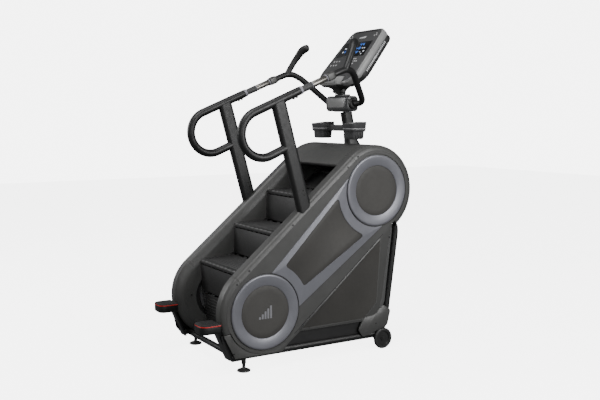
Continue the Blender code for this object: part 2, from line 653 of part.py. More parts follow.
def make_handrail(side, name):
    rail = sweep(f"handrail_{name}", loop_path(side), circle_section(RAIL_R), BLACK_PAINT)
    saddle = sweep(f"rail_cope_{name}", [post_axis(0.20, side), post_axis(0.42, side)],
                   oval_section(POST_HALF_X + 0.0006, POST_HALF_Y + 0.0006), BLACK_PAINT)
    combine(rail, saddle, "DIFFERENCE")
    post = sweep(f"post_{name}", [post_axis(-0.070, side), post_axis(POST_LENGTH + 0.02, side)],
                 oval_section(POST_HALF_X, POST_HALF_Y), BLACK_PAINT)
    line = [rail_point(-0.36, side), rail_point(0.05, side)]
    cope = sweep(f"post_cope_{name}", line, circle_section(RAIL_R + 0.0006, 24), BLACK_PAINT)
    block = sweep(f"post_trim_{name}", [rail_point(-0.36, side, 0.05), rail_point(0.05, side, 0.05)],
                  rounded(0.06, 0.05, 0.002), BLACK_PAINT)
    combine(post, cope, "DIFFERENCE")
    combine(post, block, "DIFFERENCE")

    sweep(f"grip_{name}", [rail_point(d, side) for d in (GAP, 0.020, 0.200)],
          circle_section(0.0185, 16), RUBBER)
    pod_path = [(*rail_point(d, side), k) for d, k in ((0.2005, 0.82), (0.206, 1.0), (0.248, 1.0), (0.256, 0.82))]
    pod = sweep(f"control_pod_{name}", pod_path, rounded(0.022, 0.024, 0.010), GREY_PLASTIC)
    well = pod_button_solid(f"pod_button_well_{name}", side, 0.0092, 0.018, 0.06)
    combine(pod, well, "DIFFERENCE")
    pod_button_solid(f"pod_button_{name}", side, 0.0086, 0.0203, 0.0262, pivot=rail_point(0.227, side, 0.0203))

    path = [rail_point(0.2565, side), rail_point(0.290, side)]
    inward = [(0.343, 0.222, 1.7130), (0.3405, 0.250, 1.7200), (0.331, 0.285, 1.719), (0.318, 0.317, 1.704),
              (0.300, 0.343, 1.683), (0.254, 0.404, 1.619), (0.218, 0.452, 1.567), (0.200, 0.470, 1.546),
              (0.178, 0.474, 1.531), (0.155, 0.465, 1.526), (0.118, 0.455, 1.526)]
    path += [tuple(p) for p in smooth([(side * x, y, z) for x, y, z in inward], 3)]
    bar = sweep(f"front_bar_{name}", path, circle_section(BAR_R), BLACK_PAINT)
    horn = [(0.3415, 0.247, 1.719, 1.0), (0.338, 0.265, 1.753, 1.0), (0.332, 0.280, 1.780, 1.0),
            (0.326, 0.296, 1.808, 1.04), (0.315, 0.315, 1.839, 1.14), (0.302, 0.331, 1.867, 1.28),
            (0.289, 0.345, 1.883, 1.34), (0.275, 0.358, 1.892, 1.26), (0.264, 0.367, 1.896, 0.85)]
    face = prism(f"bar_end_{name}", [(y + HUB[0], z + HUB[1]) for y, z in rounded(0.055, 0.055, 0.01)], side * 0.080,
                 side * (HUB_HALF + 0.018 + GAP), BLACK_PAINT)
    combine(bar, face, "DIFFERENCE")
    combine(bar, sweep(f"horn_{name}", [(side * x, y, z, k) for x, y, z, k in horn], circle_section(BAR_R), BLACK_PAINT),
            "UNION")


def pod_button_solid(name, side, radius, low, high, pivot=(0.0, 0.0, 0.0)):
    """A round button on top of the control pod, pressed towards the rail."""
    low_point, high_point = (Vector(rail_point(0.227, side, out)) for out in (low, high))
    return sweep(name, [low_point, high_point], circle_section(radius, 16), DARK_PLASTIC, pivot)


# ---------------------------------------------------------------- build

make_steps()
make_drive()
make_frame()
for side, name in ((-1, "left"), (1, "right")):
    make_side(side, name)
    make_handrail(side, name)
make_covers()
make_mast()
make_cup_holder()
make_console()
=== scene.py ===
"""Looks of the stair climber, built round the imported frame.

Outlines are drawn in the same design frame as the solids: (y, z) points of the machine's side, in
metres, extruded or swept along X. SHIFT moves them into the row frame. Every piece rides on a body.
"""

import json
import math

import bmesh
import bpy
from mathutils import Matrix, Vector

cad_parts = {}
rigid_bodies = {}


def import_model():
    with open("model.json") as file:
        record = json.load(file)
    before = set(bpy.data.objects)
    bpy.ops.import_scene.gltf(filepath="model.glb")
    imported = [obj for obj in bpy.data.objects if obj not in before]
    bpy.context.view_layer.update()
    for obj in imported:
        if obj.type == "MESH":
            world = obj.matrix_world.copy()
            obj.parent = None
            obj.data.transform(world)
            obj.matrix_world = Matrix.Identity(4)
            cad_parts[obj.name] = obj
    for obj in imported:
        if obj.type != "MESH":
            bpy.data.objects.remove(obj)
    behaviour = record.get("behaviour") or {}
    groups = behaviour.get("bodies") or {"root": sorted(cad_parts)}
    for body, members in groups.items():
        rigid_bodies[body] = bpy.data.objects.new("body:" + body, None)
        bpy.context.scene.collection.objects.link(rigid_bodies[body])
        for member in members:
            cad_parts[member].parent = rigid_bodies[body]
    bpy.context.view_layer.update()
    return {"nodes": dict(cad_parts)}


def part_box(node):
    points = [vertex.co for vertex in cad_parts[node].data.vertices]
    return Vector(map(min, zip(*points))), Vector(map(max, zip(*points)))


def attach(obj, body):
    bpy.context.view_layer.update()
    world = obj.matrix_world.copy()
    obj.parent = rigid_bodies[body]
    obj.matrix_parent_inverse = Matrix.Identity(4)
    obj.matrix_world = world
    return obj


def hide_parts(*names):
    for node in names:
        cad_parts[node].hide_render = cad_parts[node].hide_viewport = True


for old in list(bpy.data.objects):
    bpy.data.objects.remove(old, do_unlink=True)

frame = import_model()

# ---------------------------------------------------------------- places read from the frame


def centre_of(node):
    low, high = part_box(node)
    return (low + high) / 2


LOWER_DISC = (-0.315, 0.336)                       # (y, z) in the design frame
SHIFT = centre_of("lower_disc_right").y - LOWER_DISC[0]
UPPER_DISC = (centre_of("upper_disc_right").y - SHIFT, centre_of("upper_disc_right").z)
INCLINE = math.atan2(UPPER_DISC[1] - LOWER_DISC[1], UPPER_DISC[0] - LOWER_DISC[0])
TANGENT = math.degrees(INCLINE) + 90.0
DISC_SPAN = math.dist(LOWER_DISC, UPPER_DISC)
HOUSING_IN, HOUSING_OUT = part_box("side_housing_right")[0].x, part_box("side_housing_right")[1].x
PANEL_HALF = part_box("tread_3")[1].x                # half the width of a step
BODY_R = 0.278                                     # the side housing's rounded ends
RING_R, RING_IN_R = 0.2165, 0.153                  # the silver ring round each disc
SKIRT_R, SKIRT_X = 0.240, 0.303                    # where the housing ends over the lower panel
SIDES = ((-1, "left"), (1, "right"))

# The staircase: eight steps on a chain round two shafts.
TREAD_DEPTH, RISER_HEIGHT = 0.232, 0.200
PITCH = math.hypot(0.203, 0.239)
SPROCKET_PITCH_R = 0.119
SHAFT_SPAN = (8 * PITCH - 2 * math.pi * SPROCKET_PITCH_R) / 2
FIRST_HINGE = 0.243
BELT_DROP = 0.020                                  # the shafts lie this far under the discs' line


def on_incline(along, out):
    c, s = math.cos(INCLINE), math.sin(INCLINE)
    return (LOWER_DISC[0] + along * c - out * s, LOWER_DISC[1] + along * s + out * c)


LOWER_SHAFT = on_incline(0.0, -BELT_DROP)
UPPER_SHAFT = on_incline(SHAFT_SPAN, -BELT_DROP)

# ---------------------------------------------------------------- materials

MIX_A, MIX_B, MIX_RESULT = 6, 7, 2                 # a colour Mix node's sockets


def new_material(name):
    material = bpy.data.materials.new(name)
    material.use_nodes = True
    nodes, links = material.node_tree.nodes, material.node_tree.links
    return material, nodes, links, nodes["Principled BSDF"]


def noise(nodes, links, scale, detail=3.0, stretch=None):
    """Noise in the piece's own coordinates, so that it rides with the piece."""
    out = nodes.new("ShaderNodeTexCoord").outputs["Object"]
    if stretch:
        mapping = nodes.new("ShaderNodeMapping")
        mapping.inputs["Scale"].default_value = stretch
        links.new(out, mapping.inputs["Vector"])
        out = mapping.outputs["Vector"]
    texture = nodes.new("ShaderNodeTexNoise")
    texture.inputs["Scale"].default_value = scale
    texture.inputs["Detail"].default_value = detail
    links.new(out, texture.inputs["Vector"])
    return texture.outputs["Fac"]


def spread(nodes, links, value, low, high, start=0.3, end=0.7):
    """The value, from start to end, laid out between low and high."""
    mapped = nodes.new("ShaderNodeMapRange")
    for socket, number in (("From Min", start), ("From Max", end), ("To Min", low), ("To Max", high)):
        mapped.inputs[socket].default_value = number
    links.new(value, mapped.inputs["Value"])
    return mapped.outputs["Result"]


def colour_mix(nodes, links, amount, low, high):
    """A mix of two colours. Each is a colour or another node's output."""
    mix = nodes.new("ShaderNodeMix")
    mix.data_type = "RGBA"
    links.new(amount, mix.inputs[0])
    for number, colour in ((MIX_A, low), (MIX_B, high)):
        if isinstance(colour, bpy.types.NodeSocket):
            links.new(colour, mix.inputs[number])
        else:
            mix.inputs[number].default_value = (*colour, 1)
    return mix.outputs[MIX_RESULT]


def surface(name, colour, roughness, metallic=0.0, grain=900.0, depth=0.00025, strength=0.35,
            vary=0.10, coat=0.0, stretch=None, edge=0.0):
    """Moulded plastic, paint or metal: uneven tone, uneven gloss and a fine grain in relief. With edge,
    convex edges are lighter: a painted highlight.
    """
    material, nodes, links, shader = new_material(name)
    shader.inputs["Metallic"].default_value = metallic
    shader.inputs["Coat Weight"].default_value = coat
    shader.inputs["Coat Roughness"].default_value = 0.25
    tone = spread(nodes, links, noise(nodes, links, 5.0), 0.0, 1.0)
    shade = colour_mix(nodes, links, tone, [c * (1 - vary) for c in colour], [c * (1 + vary) for c in colour])
    if edge:
        # Lighter colour where the surface is most convex: a painted highlight along the edges.
        pointiness = nodes.new("ShaderNodeNewGeometry").outputs["Pointiness"]
        edge_highlight = spread(nodes, links, pointiness, 0.0, edge, 0.53, 0.62)
        shade = colour_mix(nodes, links, edge_highlight, shade, [min(1.0, c * 1.7 + 0.03) for c in colour])
    links.new(shade, shader.inputs["Base Color"])
    gloss = spread(nodes, links, noise(nodes, links, 38.0, 4.0), roughness - 0.05, roughness + 0.05)
    links.new(gloss, shader.inputs["Roughness"])
    bump = nodes.new("ShaderNodeBump")
    bump.inputs["Strength"].default_value = strength
    bump.inputs["Distance"].default_value = depth
    links.new(noise(nodes, links, grain, 2.0, stretch), bump.inputs["Height"])
    links.new(bump.outputs["Normal"], shader.inputs["Normal"])
    return material


def glow(name, colour, strength):
    material, nodes, links, shader = new_material(name)
    shader.inputs["Base Color"].default_value = (*colour, 1)
    shader.inputs["Emission Color"].default_value = (*colour, 1)
    shader.inputs["Emission Strength"].default_value = strength
    links.new(spread(nodes, links, noise(nodes, links, 300.0), 0.25, 0.4), shader.inputs["Roughness"])
    return material


GREY = surface("grey_plastic", (0.064, 0.064, 0.062), 0.40, edge=0.2)
CAP_GREY = surface("cap_grey_plastic", (0.074, 0.074, 0.073), 0.38, edge=0.2)
DARK = surface("dark_plastic", (0.014, 0.014, 0.014), 0.45)
HOLDER = surface("glossy_dark_plastic", (0.050, 0.050, 0.052), 0.24, depth=0.0001, coat=0.3)
STEP = surface("step_plastic", (0.032, 0.032, 0.032), 0.5, grain=700, depth=0.0004)
RISER = surface("riser_plastic", (0.026, 0.026, 0.026), 0.5, grain=500)
TOOTH = surface("step_edge_plastic", (0.055, 0.055, 0.055), 0.5, grain=500)
WARM = surface("warm_panel", (0.052, 0.050, 0.046), 0.62, grain=1200, depth=0.0003)
SILVER = surface("silver_paint", (0.200, 0.202, 0.226), 0.36, metallic=0.35, grain=1500,
                 depth=0.00008, vary=0.04)
BRIGHT = surface("bright_trim", (0.50, 0.50, 0.51), 0.30, metallic=0.5, grain=1500, depth=0.00006,
                 vary=0.04)
FRAME_PAINT = surface("black_powder_coat", (0.007, 0.007, 0.0072), 0.44, grain=420,
                      depth=0.0002, strength=0.25)
COLLAR = surface("light_collar_plastic", (0.27, 0.265, 0.30), 0.42)
METAL = surface("brushed_steel", (0.42, 0.42, 0.43), 0.34, metallic=0.95, grain=260,
                stretch=(0.05, 1, 1), vary=0.05)
CONTACT = surface("contact_metal", (0.20, 0.19, 0.175), 0.30, metallic=0.9, grain=600,
                  depth=0.00008, vary=0.05)
CONSOLE = surface("console_plastic", (0.235, 0.235, 0.233), 0.36, grain=1100, edge=0.2)
POD = surface("pod_plastic", (0.055, 0.055, 0.053), 0.35, grain=1100, edge=0.3)
BEZEL = surface("console_membrane", (0.056, 0.056, 0.057), 0.40, grain=1600, depth=0.0001)
GLASS = surface("display_glass", (0.003, 0.003, 0.004), 0.20, grain=40, depth=0.00002)
RUBBER = surface("black_rubber", (0.020, 0.020, 0.020), 0.5, grain=1500, depth=0.0003)
GRIP = surface("grip_rubber", (0.042, 0.042, 0.043), 0.55, grain=900, depth=0.0005, strength=0.5)
RED = surface("red_plastic", (0.55, 0.018, 0.015), 0.35, grain=900)
MARK = surface("printed_marks", (0.20, 0.20, 0.215), 0.5)
WHITE_MARK = surface("white_marks", (0.62, 0.62, 0.63), 0.5)
HOLE = surface("screw_black", (0.005, 0.005, 0.005), 0.5)
BLUE = glow("display_blue", (0.06, 0.22, 0.80), 1.0)
PALE_BLUE = glow("display_pale", (0.62, 0.66, 0.72), 0.8)

# ---------------------------------------------------------------- outlines


def arc(centre, radius, start, end, steps):
    """Points on a circle from start to end, in degrees."""
    angles = [math.radians(start + (end - start) * i / steps) for i in range(steps + 1)]
    return [(centre[0] + radius * math.cos(a), centre[1] + radius * math.sin(a)) for a in angles]


def circle(radius, sides=24, centre=(0.0, 0.0)):
    return arc(centre, radius, 0, 360 - 360 / sides, sides - 1)


def oval(half_a, half_b, steps=8):
    straight = half_b - half_a
    return arc((0, straight), half_a, 0, 180, 2 * steps) + arc((0, -straight), half_a, 180, 360, 2 * steps)


def stadium(radius, low=LOWER_DISC, high=UPPER_DISC, steps=40):
    return arc(low, radius, TANGENT, TANGENT + 180, steps) + arc(high, radius, TANGENT - 180, TANGENT, steps)


def rectangle(a, b, width, height, radius, top_radius=None):
    """Corners, for rounded_outline, of a rectangle about (a, b)."""
    top = radius if top_radius is None else top_radius
    left, right, low, high = a - width / 2, a + width / 2, b - height / 2, b + height / 2
    return [(left, low, radius), (right, low, radius), (right, high, top), (left, high, top)]


def rounded_outline(corners, steps=6):
    """A closed outline from (a, b, radius) corners, each rounded by an arc of that radius."""
    points = []
    count = len(corners)
    for i, (a, b, radius) in enumerate(corners):
        here = Vector((a, b))
        back = (Vector(corners[i - 1][:2]) - here).normalized()
        ahead = (Vector(corners[(i + 1) % count][:2]) - here).normalized()
        half = back.angle(ahead) / 2
        if radius <= 0 or half > 1.55:
            points.append((a, b))
            continue
        centre = here + (back + ahead).normalized() * (radius / math.sin(half))
        first = here + back * (radius / math.tan(half)) - centre
        last = here + ahead * (radius / math.tan(half)) - centre
        turn = first.angle_signed(last)
        for k in range(steps + 1):
            angle = -turn * k / steps
            c, s = math.cos(angle), math.sin(angle)
            points.append((centre.x + first.x * c - first.y * s, centre.y + first.x * s + first.y * c))
    return points


def smooth(points, steps=8):
    """A smooth curve through the points (Catmull-Rom)."""
    pts = [Vector(p) for p in points]
    ends = [2 * pts[0] - pts[1]] + pts + [2 * pts[-1] - pts[-2]]
    curve = []
    for a, b, c, d in zip(ends, ends[1:], ends[2:], ends[3:]):
        for i in range(steps):
            t = i / steps
            curve.append(tuple(0.5 * (2 * b + (c - a) * t + (2 * a - 5 * b + 4 * c - d) * t * t
                                      + (3 * b - a - 3 * c + d) * t ** 3)))
    return curve + [tuple(pts[-1])]


def shrink(outline, distance):
    """Move each point of a closed outline inwards by the distance."""
    count = len(outline)
    area = sum(a[0] * b[1] - b[0] * a[1] for a, b in zip(outline, outline[1:] + outline[:1]))
    turn = 1 if area > 0 else -1
    moved = []
    for i in range(count):
        tangent = Vector(outline[(i + 1) % count]) - Vector(outline[i - 1])
        inward = Vector((-tangent.y, tangent.x)).normalized() * turn
        moved.append(tuple(Vector(outline[i]) + inward * distance))
    return moved


def along_outline(points, i, way, reach):
    """The place at this distance from point i, going one way round the outline."""
    here = points[i]
    k = i
    while (points[(k + way) % len(points)] - here).length < reach:
        k += way
    near, far = points[k % len(points)], points[(k + way) % len(points)]
    low, high = (near - here).length, (far - here).length
    return near.lerp(far, (reach - low) / (high - low))


def soften(outline, radius, steps=5):
    """Round only the true corners of a dense outline, leaving its arcs as they are."""
    points = [Vector(p) for p in outline]
    count = len(points)
    corners = {}
    for i, here in enumerate(points):
        back, ahead = points[i - 1] - here, points[(i + 1) % count] - here
        if back.angle(ahead) < math.radians(155):
            corners[i] = radius / math.tan(back.angle(ahead) / 2)
    result = []
    for i, here in enumerate(points):
        if i not in corners:
            if all((here - points[k]).length > reach for k, reach in corners.items()):
                result.append(tuple(here))
            continue
        start, end = along_outline(points, i, -1, corners[i]), along_outline(points, i, 1, corners[i])
        result += [tuple((1 - t) ** 2 * start + 2 * t * (1 - t) * here + t * t * end)
                   for t in (k / steps for k in range(steps + 1))]
    return result


# ---------------------------------------------------------------- shapes


def shell_of(rings, closed_ends=True):
    bm = bmesh.new()
    rows = [[bm.verts.new(point) for point in ring] for ring in rings]
    count = len(rows[0])
    for low, high in zip(rows, rows[1:]):
        for i in range(count):
            j = (i + 1) % count
            bm.faces.new((low[i], low[j], high[j], high[i]))
    if closed_ends:
        bm.faces.new(rows[0][::-1])
        bm.faces.new(rows[-1])
    return bm


def ring_of(rings):
    """A closed ring: each outline joins the next one, and the last joins the first."""
    return shell_of([*rings, rings[0]], closed_ends=False)


def layers(outline, levels, side=1):
    """The (y, z) outline at each (x, inset) level, on this side of the machine."""
    return [[(side * x, y, z) for y, z in shrink(outline, inset)] for x, inset in levels]


def prism(outline, x0, x1, side=1):
    return shell_of([[(side * x, y, z) for y, z in outline] for x in (x0, x1)])


def about_x(centre, stations, sides, side):
    return [[(side * x, y, z) for y, z in circle(r, sides, centre)] for x, r in stations]


def turned(centre, stations, sides=64, side=1):
    """A solid of revolution about the X axis through centre, from (x, radius) stations."""
    return shell_of(about_x(centre, stations, sides, side))


def tube_ring(centre, stations, sides=96, side=1):
    """A ring about the X axis, from a closed profile of (x, radius) points."""
    return ring_of(about_x(centre, stations, sides, side))


def swept(path, section):
    """Carry a section of (side, up) offsets along a path. A point's fourth value scales the section."""
    points = [Vector(p[:3]) for p in path]
    scales = [p[3] if len(p) > 3 else 1.0 for p in path]
    rings = []
    side = None
    for i, (point, scale) in enumerate(zip(points, scales)):
        tangent = (points[min(i + 1, len(points) - 1)] - points[max(i - 1, 0)]).normalized()
        if side is None:
            side = tangent.orthogonal() if abs(tangent.x) > 0.9 else Vector((1, 0, 0))
        side = (side - tangent * side.dot(tangent)).normalized()
        up = tangent.cross(side)
        rings.append([point + (side * a + up * b) * scale for a, b in section])
    return shell_of(rings)


def bent_sheet(line, thickness, half):
    inner = []
    for i, point in enumerate(line):
        ahead = Vector(line[min(i + 1, len(line) - 1)]) - Vector(line[max(i - 1, 0)])
        normal = Vector((ahead.y, -ahead.x)).normalized()
        inner.append(tuple(Vector(point) + normal * thickness))
    return prism(list(line) + inner[::-1], -half, half)


def settle(bm):
    bmesh.ops.remove_doubles(bm, verts=bm.verts, dist=1e-7)
    bmesh.ops.recalc_face_normals(bm, faces=bm.faces)
    if bm.calc_volume(signed=True) < 0:
        bmesh.ops.reverse_faces(bm, faces=bm.faces)


def bare(bm, name="tool"):
    settle(bm)
    mesh = bpy.data.meshes.new(name)
    bm.to_mesh(mesh)
    bm.free()
    made = bpy.data.objects.new(name, mesh)
    bpy.context.scene.collection.objects.link(made)
    return made


def bake(obj):
    """Keep what the modifiers make as the piece's own mesh."""
    bpy.context.view_layer.update()
    graph = bpy.context.evaluated_depsgraph_get()
    mesh = bpy.data.meshes.new_from_object(obj.evaluated_get(graph))
    obj.modifiers.clear()
    obj.data = mesh


CUT, ADD = "DIFFERENCE", "UNION"


def combine(bm, *changes):
    """Cut and join in turn: each change is CUT or ADD and the bmesh it uses."""
    target = bare(bm)
    helpers = []
    for operation, other in changes:
        helper = bare(other)
        helpers.append(helper)
        boolean = target.modifiers.new(operation, "BOOLEAN")
        boolean.operation = operation
        boolean.object = helper
    bake(target)
    result = bmesh.new()
    result.from_mesh(target.data)
    for extra in helpers + [target]:
        bpy.data.objects.remove(extra, do_unlink=True)
    return result


def join(parts):
    """Several closed shapes in one mesh, where they are separate or only touch."""
    whole = bmesh.new()
    for part in parts:
        mesh = bpy.data.meshes.new("part")
        settle(part)
        part.to_mesh(mesh)
        part.free()
        whole.from_mesh(mesh)
        bpy.data.meshes.remove(mesh)
    return whole


def piece(name, bm, material, body="frame", stands_for=(), bevel=0.0, segments=3, sharp=38.0):
    """Make the piece, shift it from the design frame to the row frame, and let it ride on its body."""
    bmesh.ops.translate(bm, vec=(0, SHIFT, 0), verts=bm.verts)
    made = bare(bm, name)
    made.data.materials.append(material)
    made.data.shade_smooth()
    if bevel:
        modifier = made.modifiers.new("edges", "BEVEL")
        modifier.width = bevel
        modifier.segments = segments
        modifier.limit_method = "ANGLE"
        modifier.angle_limit = math.radians(sharp)
        modifier.use_clamp_overlap = True
        bake(made)
        made.data.shade_smooth()
    made.data.set_sharp_from_angle(angle=math.radians(sharp))
    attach(made, body)
    if stands_for:
        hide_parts(*([stands_for] if isinstance(stands_for, str) else stands_for))


# ---------------------------------------------------------------- steps


def hinge_place(number):
    """The (y, z) of this step's chain hinge, on the way up, round a sprocket or on the way back."""
    r, span = SPROCKET_PITCH_R, SHAFT_SPAN
    wrap = math.pi * r
    s = FIRST_HINGE + (number - 2) * PITCH
    s = (s + wrap + span) % (2 * (span + wrap)) - (wrap + span)
    if s >= span:
        a = (s - span) / r
        point = (span + r * math.sin(a), r * math.cos(a))
    elif s >= 0:
        point = (s, r)
    elif s >= -wrap:
        point = (-r * math.sin(-s / r), r * math.cos(s / r))
    else:
        point = (-s - wrap, -r)
    return on_incline(point[0], point[1] - BELT_DROP)


def nosing_place(number):
    """Where the tread and the riser meet: a triangle on the two hinges."""
    low, high = Vector(hinge_place(number - 1)), Vector(hinge_place(number))
    base = high - low
    along = (RISER_HEIGHT ** 2 - TREAD_DEPTH ** 2 + base.length_squared) / (2 * base.length)
    unit = base.normalized()
    return tuple(low + unit * along + Vector((-unit.y, unit.x)) * math.sqrt(RISER_HEIGHT ** 2 - along ** 2))


def laid(root, tip, profile, inside):
    """A profile laid from root to tip, with its second value towards the inside."""
    e = (Vector(tip) - Vector(root)).normalized()
    back = Vector((-e.y, e.x)) * inside
    return [tuple(Vector(root) + e * a + back * b) for a, b in profile]


def tread_profile():
    """From the hinge along the ribbed top to the rounded nosing, and back under the tread."""
    top = [(0.006, 0.0)]
    rib_pitch, groove, depth, chamfer = 0.0205, 0.0075, 0.0030, 0.0015
    for i in range(9):
        a = 0.022 + i * rib_pitch
        top += [(a, 0.0), (a + chamfer, depth), (a + groove, depth), (a + groove + chamfer, 0.0)]
    nose = arc((TREAD_DEPTH - 0.009, 0.009), 0.009, -90, 0, 5)
    under = [(TREAD_DEPTH, 0.020), (TREAD_DEPTH - 0.003, 0.0235), (TREAD_DEPTH - 0.010, 0.0235),
             (0.045, 0.022), (0.018, 0.011), (0.006, 0.006)]
    return top + nose + under


def blocks(outline, width, step, count):
    """A row of equal prisms, centred on x = 0."""
    middles = [(i - (count - 1) / 2) * step for i in range(count)]
    return join([prism(outline, middle - width / 2, middle + width / 2) for middle in middles])


def make_step(number, tread_body, riser_body, stands_for):
    root, tip, foot = hinge_place(number), nosing_place(number), hinge_place(number - 1)
    end = TREAD_DEPTH
    piece(f"step_top_{number}", prism(laid(root, tip, tread_profile(), 1), -PANEL_HALF, PANEL_HALF), STEP,
          tread_body, stands_for[0], bevel=0.0008, segments=2, sharp=30)
    tooth = [(end - 0.016, -0.0012), (end - 0.004, -0.0012), (end + 0.0012, 0.006), (end + 0.0012, 0.010),
             (end - 0.001, 0.010), (end - 0.010, 0.001), (end - 0.016, 0.001)]
    piece(f"step_teeth_{number}", blocks(laid(root, tip, tooth, 1), 0.034, 0.054, 10), TOOTH, tread_body,
          bevel=0.0006, segments=2)
    lug = [(end - 0.012, 0.020), (end - 0.001, 0.020), (end - 0.001, 0.0252), (end - 0.012, 0.0252)]
    piece(f"step_lugs_{number}", blocks(laid(root, tip, lug, 1), 0.020, 0.054, 9), RISER, tread_body,
          bevel=0.0006, segments=2)
    top = RISER_HEIGHT - 0.029
    riser = [(0.010, 0.0), (top, 0.0), (top, 0.004), (top - 0.022, 0.014), (0.010, 0.014)]
    piece(f"step_front_{number}", prism(laid(foot, tip, riser, -1), -PANEL_HALF, PANEL_HALF), RISER,
          riser_body, stands_for[1], bevel=0.0010, segments=2, sharp=30)
    piece(f"step_hinge_{number}", blocks(laid(foot, tip, circle(0.0055, 16), 1), 0.038, 0.10, 5), DARK,
          riser_body)


def make_steps():
    bodies = {1: ("tread_1", "riser_1"), 2: ("tread_2", "riser_2"), 3: ("flight",) * 2, 4: ("flight",) * 2,
              5: ("tread_5", "riser_5"), 6: ("tread_6", "riser_6"), 7: ("return_flight",) * 2,
              8: ("return_flight",) * 2}
    for number, (tread_body, riser_body) in bodies.items():
        nodes = (f"step_{number}", ()) if number > 6 else (f"tread_{number}", f"riser_{number}")
        make_step(number, tread_body, riser_body, nodes)


# ---------------------------------------------------------------- side housings

# (distance out from the inner face, inset): a broad inner slope, the flat rim, and the rounded outer edge.
RIM = [(0.0, 0.060), (0.0020, 0.050), (0.0065, 0.036), (0.0125, 0.022), (0.0195, 0.0100), (0.0265, 0.0016),
       (0.0285, 0.0004), (0.070, 0.0004), (0.078, 0.0014), (0.085, 0.0045), (0.091, 0.0100),
       (0.0955, 0.0175), (0.0985, 0.0270), (0.1000, 0.0330), (0.1015, 0.0345)]
THROUGH = 0.01                                     # how far a cutter reaches past what it cuts


def across_incline(along, half, out_low, out_high):
    return [on_incline(along - half, out_low), on_incline(along + half, out_low),
            on_incline(along + half, out_high), on_incline(along - half, out_high)]


def make_housing(side, name):
    inner, outer = HOUSING_IN, HOUSING_OUT
    body = shell_of([[(side * (inner + x), y, z) for y, z in stadium(BODY_R - inset, steps=56)]
                     for x, inset in RIM])
    cavity = prism(stadium(BODY_R - 0.066, steps=30), inner + 0.004, outer - 0.012, side)
    window = prism(stadium(0.131, LOWER_SHAFT, UPPER_SHAFT, 30), inner - THROUGH, inner + 0.012, side)
    round_window = turned(LOWER_SHAFT, [(inner - THROUGH, 0.155), (inner + 0.012, 0.155)], side=side)
    skirt_end, far = DISC_SPAN * 0.985, -0.42
    below = arc(LOWER_DISC, SKIRT_R, 203, TANGENT + 180, 40)
    below += [on_incline(skirt_end, -SKIRT_R), on_incline(skirt_end, far), on_incline(0.0, far),
              (-0.62, -0.02), (-0.66, 0.18)]
    cutters = [cavity, window, round_window, prism(below, SKIRT_X, outer + 0.02, side)]
    disc_seat = [(outer - 0.004, RING_R + 0.006), (outer - 0.001, RING_R + 0.008),
                 (outer + 0.01, RING_R + 0.012)]
    cutters += [turned(centre, disc_seat, 96, side) for centre in (LOWER_DISC, UPPER_DISC)]
    for along in (-0.002, DISC_SPAN + 0.002):      # the seams between the end caps and the rails
        seam = across_incline(along, 0.0008, 0.236, BODY_R + THROUGH)
        cutters.append(prism(seam, inner - THROUGH, outer + THROUGH, side))
    for centre, start, end in ((LOWER_DISC, TANGENT, 203.0), (UPPER_DISC, -40.0, TANGENT)):
        groove = arc(centre, BODY_R + THROUGH, start, end, 30) + arc(centre, BODY_R - 0.0045, end, start, 30)
        cutters.append(prism(groove, outer - 0.0235, outer - 0.0220, side))
    socket = oval(POST_HALF_X + 0.0008, POST_HALF_Y + 0.0008)
    cutters.append(swept([post_axis(-0.090, side), post_axis(0.12, side)], socket))
    piece(f"side_shell_{name}", combine(body, *[(CUT, cutter) for cutter in cutters]), GREY,
          stands_for=f"side_housing_{name}", sharp=30)

    ring = [(0.3765, RING_R - 0.0005), (0.3785, RING_R - 0.003), (0.3797, RING_R - 0.007),
            (0.3799, RING_R - 0.011), (0.3740, RING_IN_R + 0.003), (0.3730, RING_IN_R + 0.001),
            (0.3712, RING_IN_R), (0.3685, RING_IN_R), (0.3685, RING_R - 0.0005)]
    plate = [(0.3685, RING_IN_R + 0.004), (0.3708, RING_IN_R - 0.0012), (0.3718, RING_IN_R - 0.003),
             (0.3722, 0.12)]
    for label, centre in (("lower", LOWER_DISC), ("upper", UPPER_DISC)):
        piece(f"{label}_ring_{name}", tube_ring(centre, ring, side=side), SILVER, sharp=50)
        piece(f"{label}_plate_{name}", turned(centre, plate, 96, side), WARM,
              stands_for=f"{label}_disc_{name}", sharp=50)
    make_disc_mark(side, name)
    make_trim(side, name)
    make_lower_panel(side, name)
    screws = [(-0.022, 0.2495), (0.082, 0.2515), (0.455, 0.2500), (0.955, 0.2480), (DISC_SPAN + 0.03, 0.2480)]
    heads = [screw_head(side, on_incline(a, n), outer - 0.0062, 0.0052) for a, n in screws]
    heads.append(screw_head(-side, (-0.49, 0.336), -inner - 0.0005, 0.005))
    piece(f"housing_screws_{name}", join(heads), HOLE)


def screw_head(side, place, x, radius):
    """A sunk screw head with its driver recess, facing outwards."""
    stations = [(x - 0.006, radius), (x + 0.0046, radius), (x + 0.0052, radius * 0.8),
                (x + 0.0052, radius * 0.45), (x + 0.0030, radius * 0.40)]
    return turned(place, stations, 20, side)


def make_disc_mark(side, name):
    """A plain printed mark on the lower disc: five bars that rise like stairs."""
    bars = []
    for i in range(5):
        height = 0.014 + i * 0.015
        corners = rectangle(LOWER_DISC[0] - 0.036 + i * 0.018, LOWER_DISC[1] - 0.040 + height / 2,
                            0.012, height, 0.003)
        bars.append(prism(rounded_outline(corners, 4), 0.3720, 0.3727, side))
    piece(f"disc_mark_{name}", join(bars), MARK)


TRIM_LOW, TRIM_HIGH = 0.140, 0.198                 # half widths of the trim at the lower and the upper disc
TRIM_BACK = 0.3717
INSET_R = 0.281


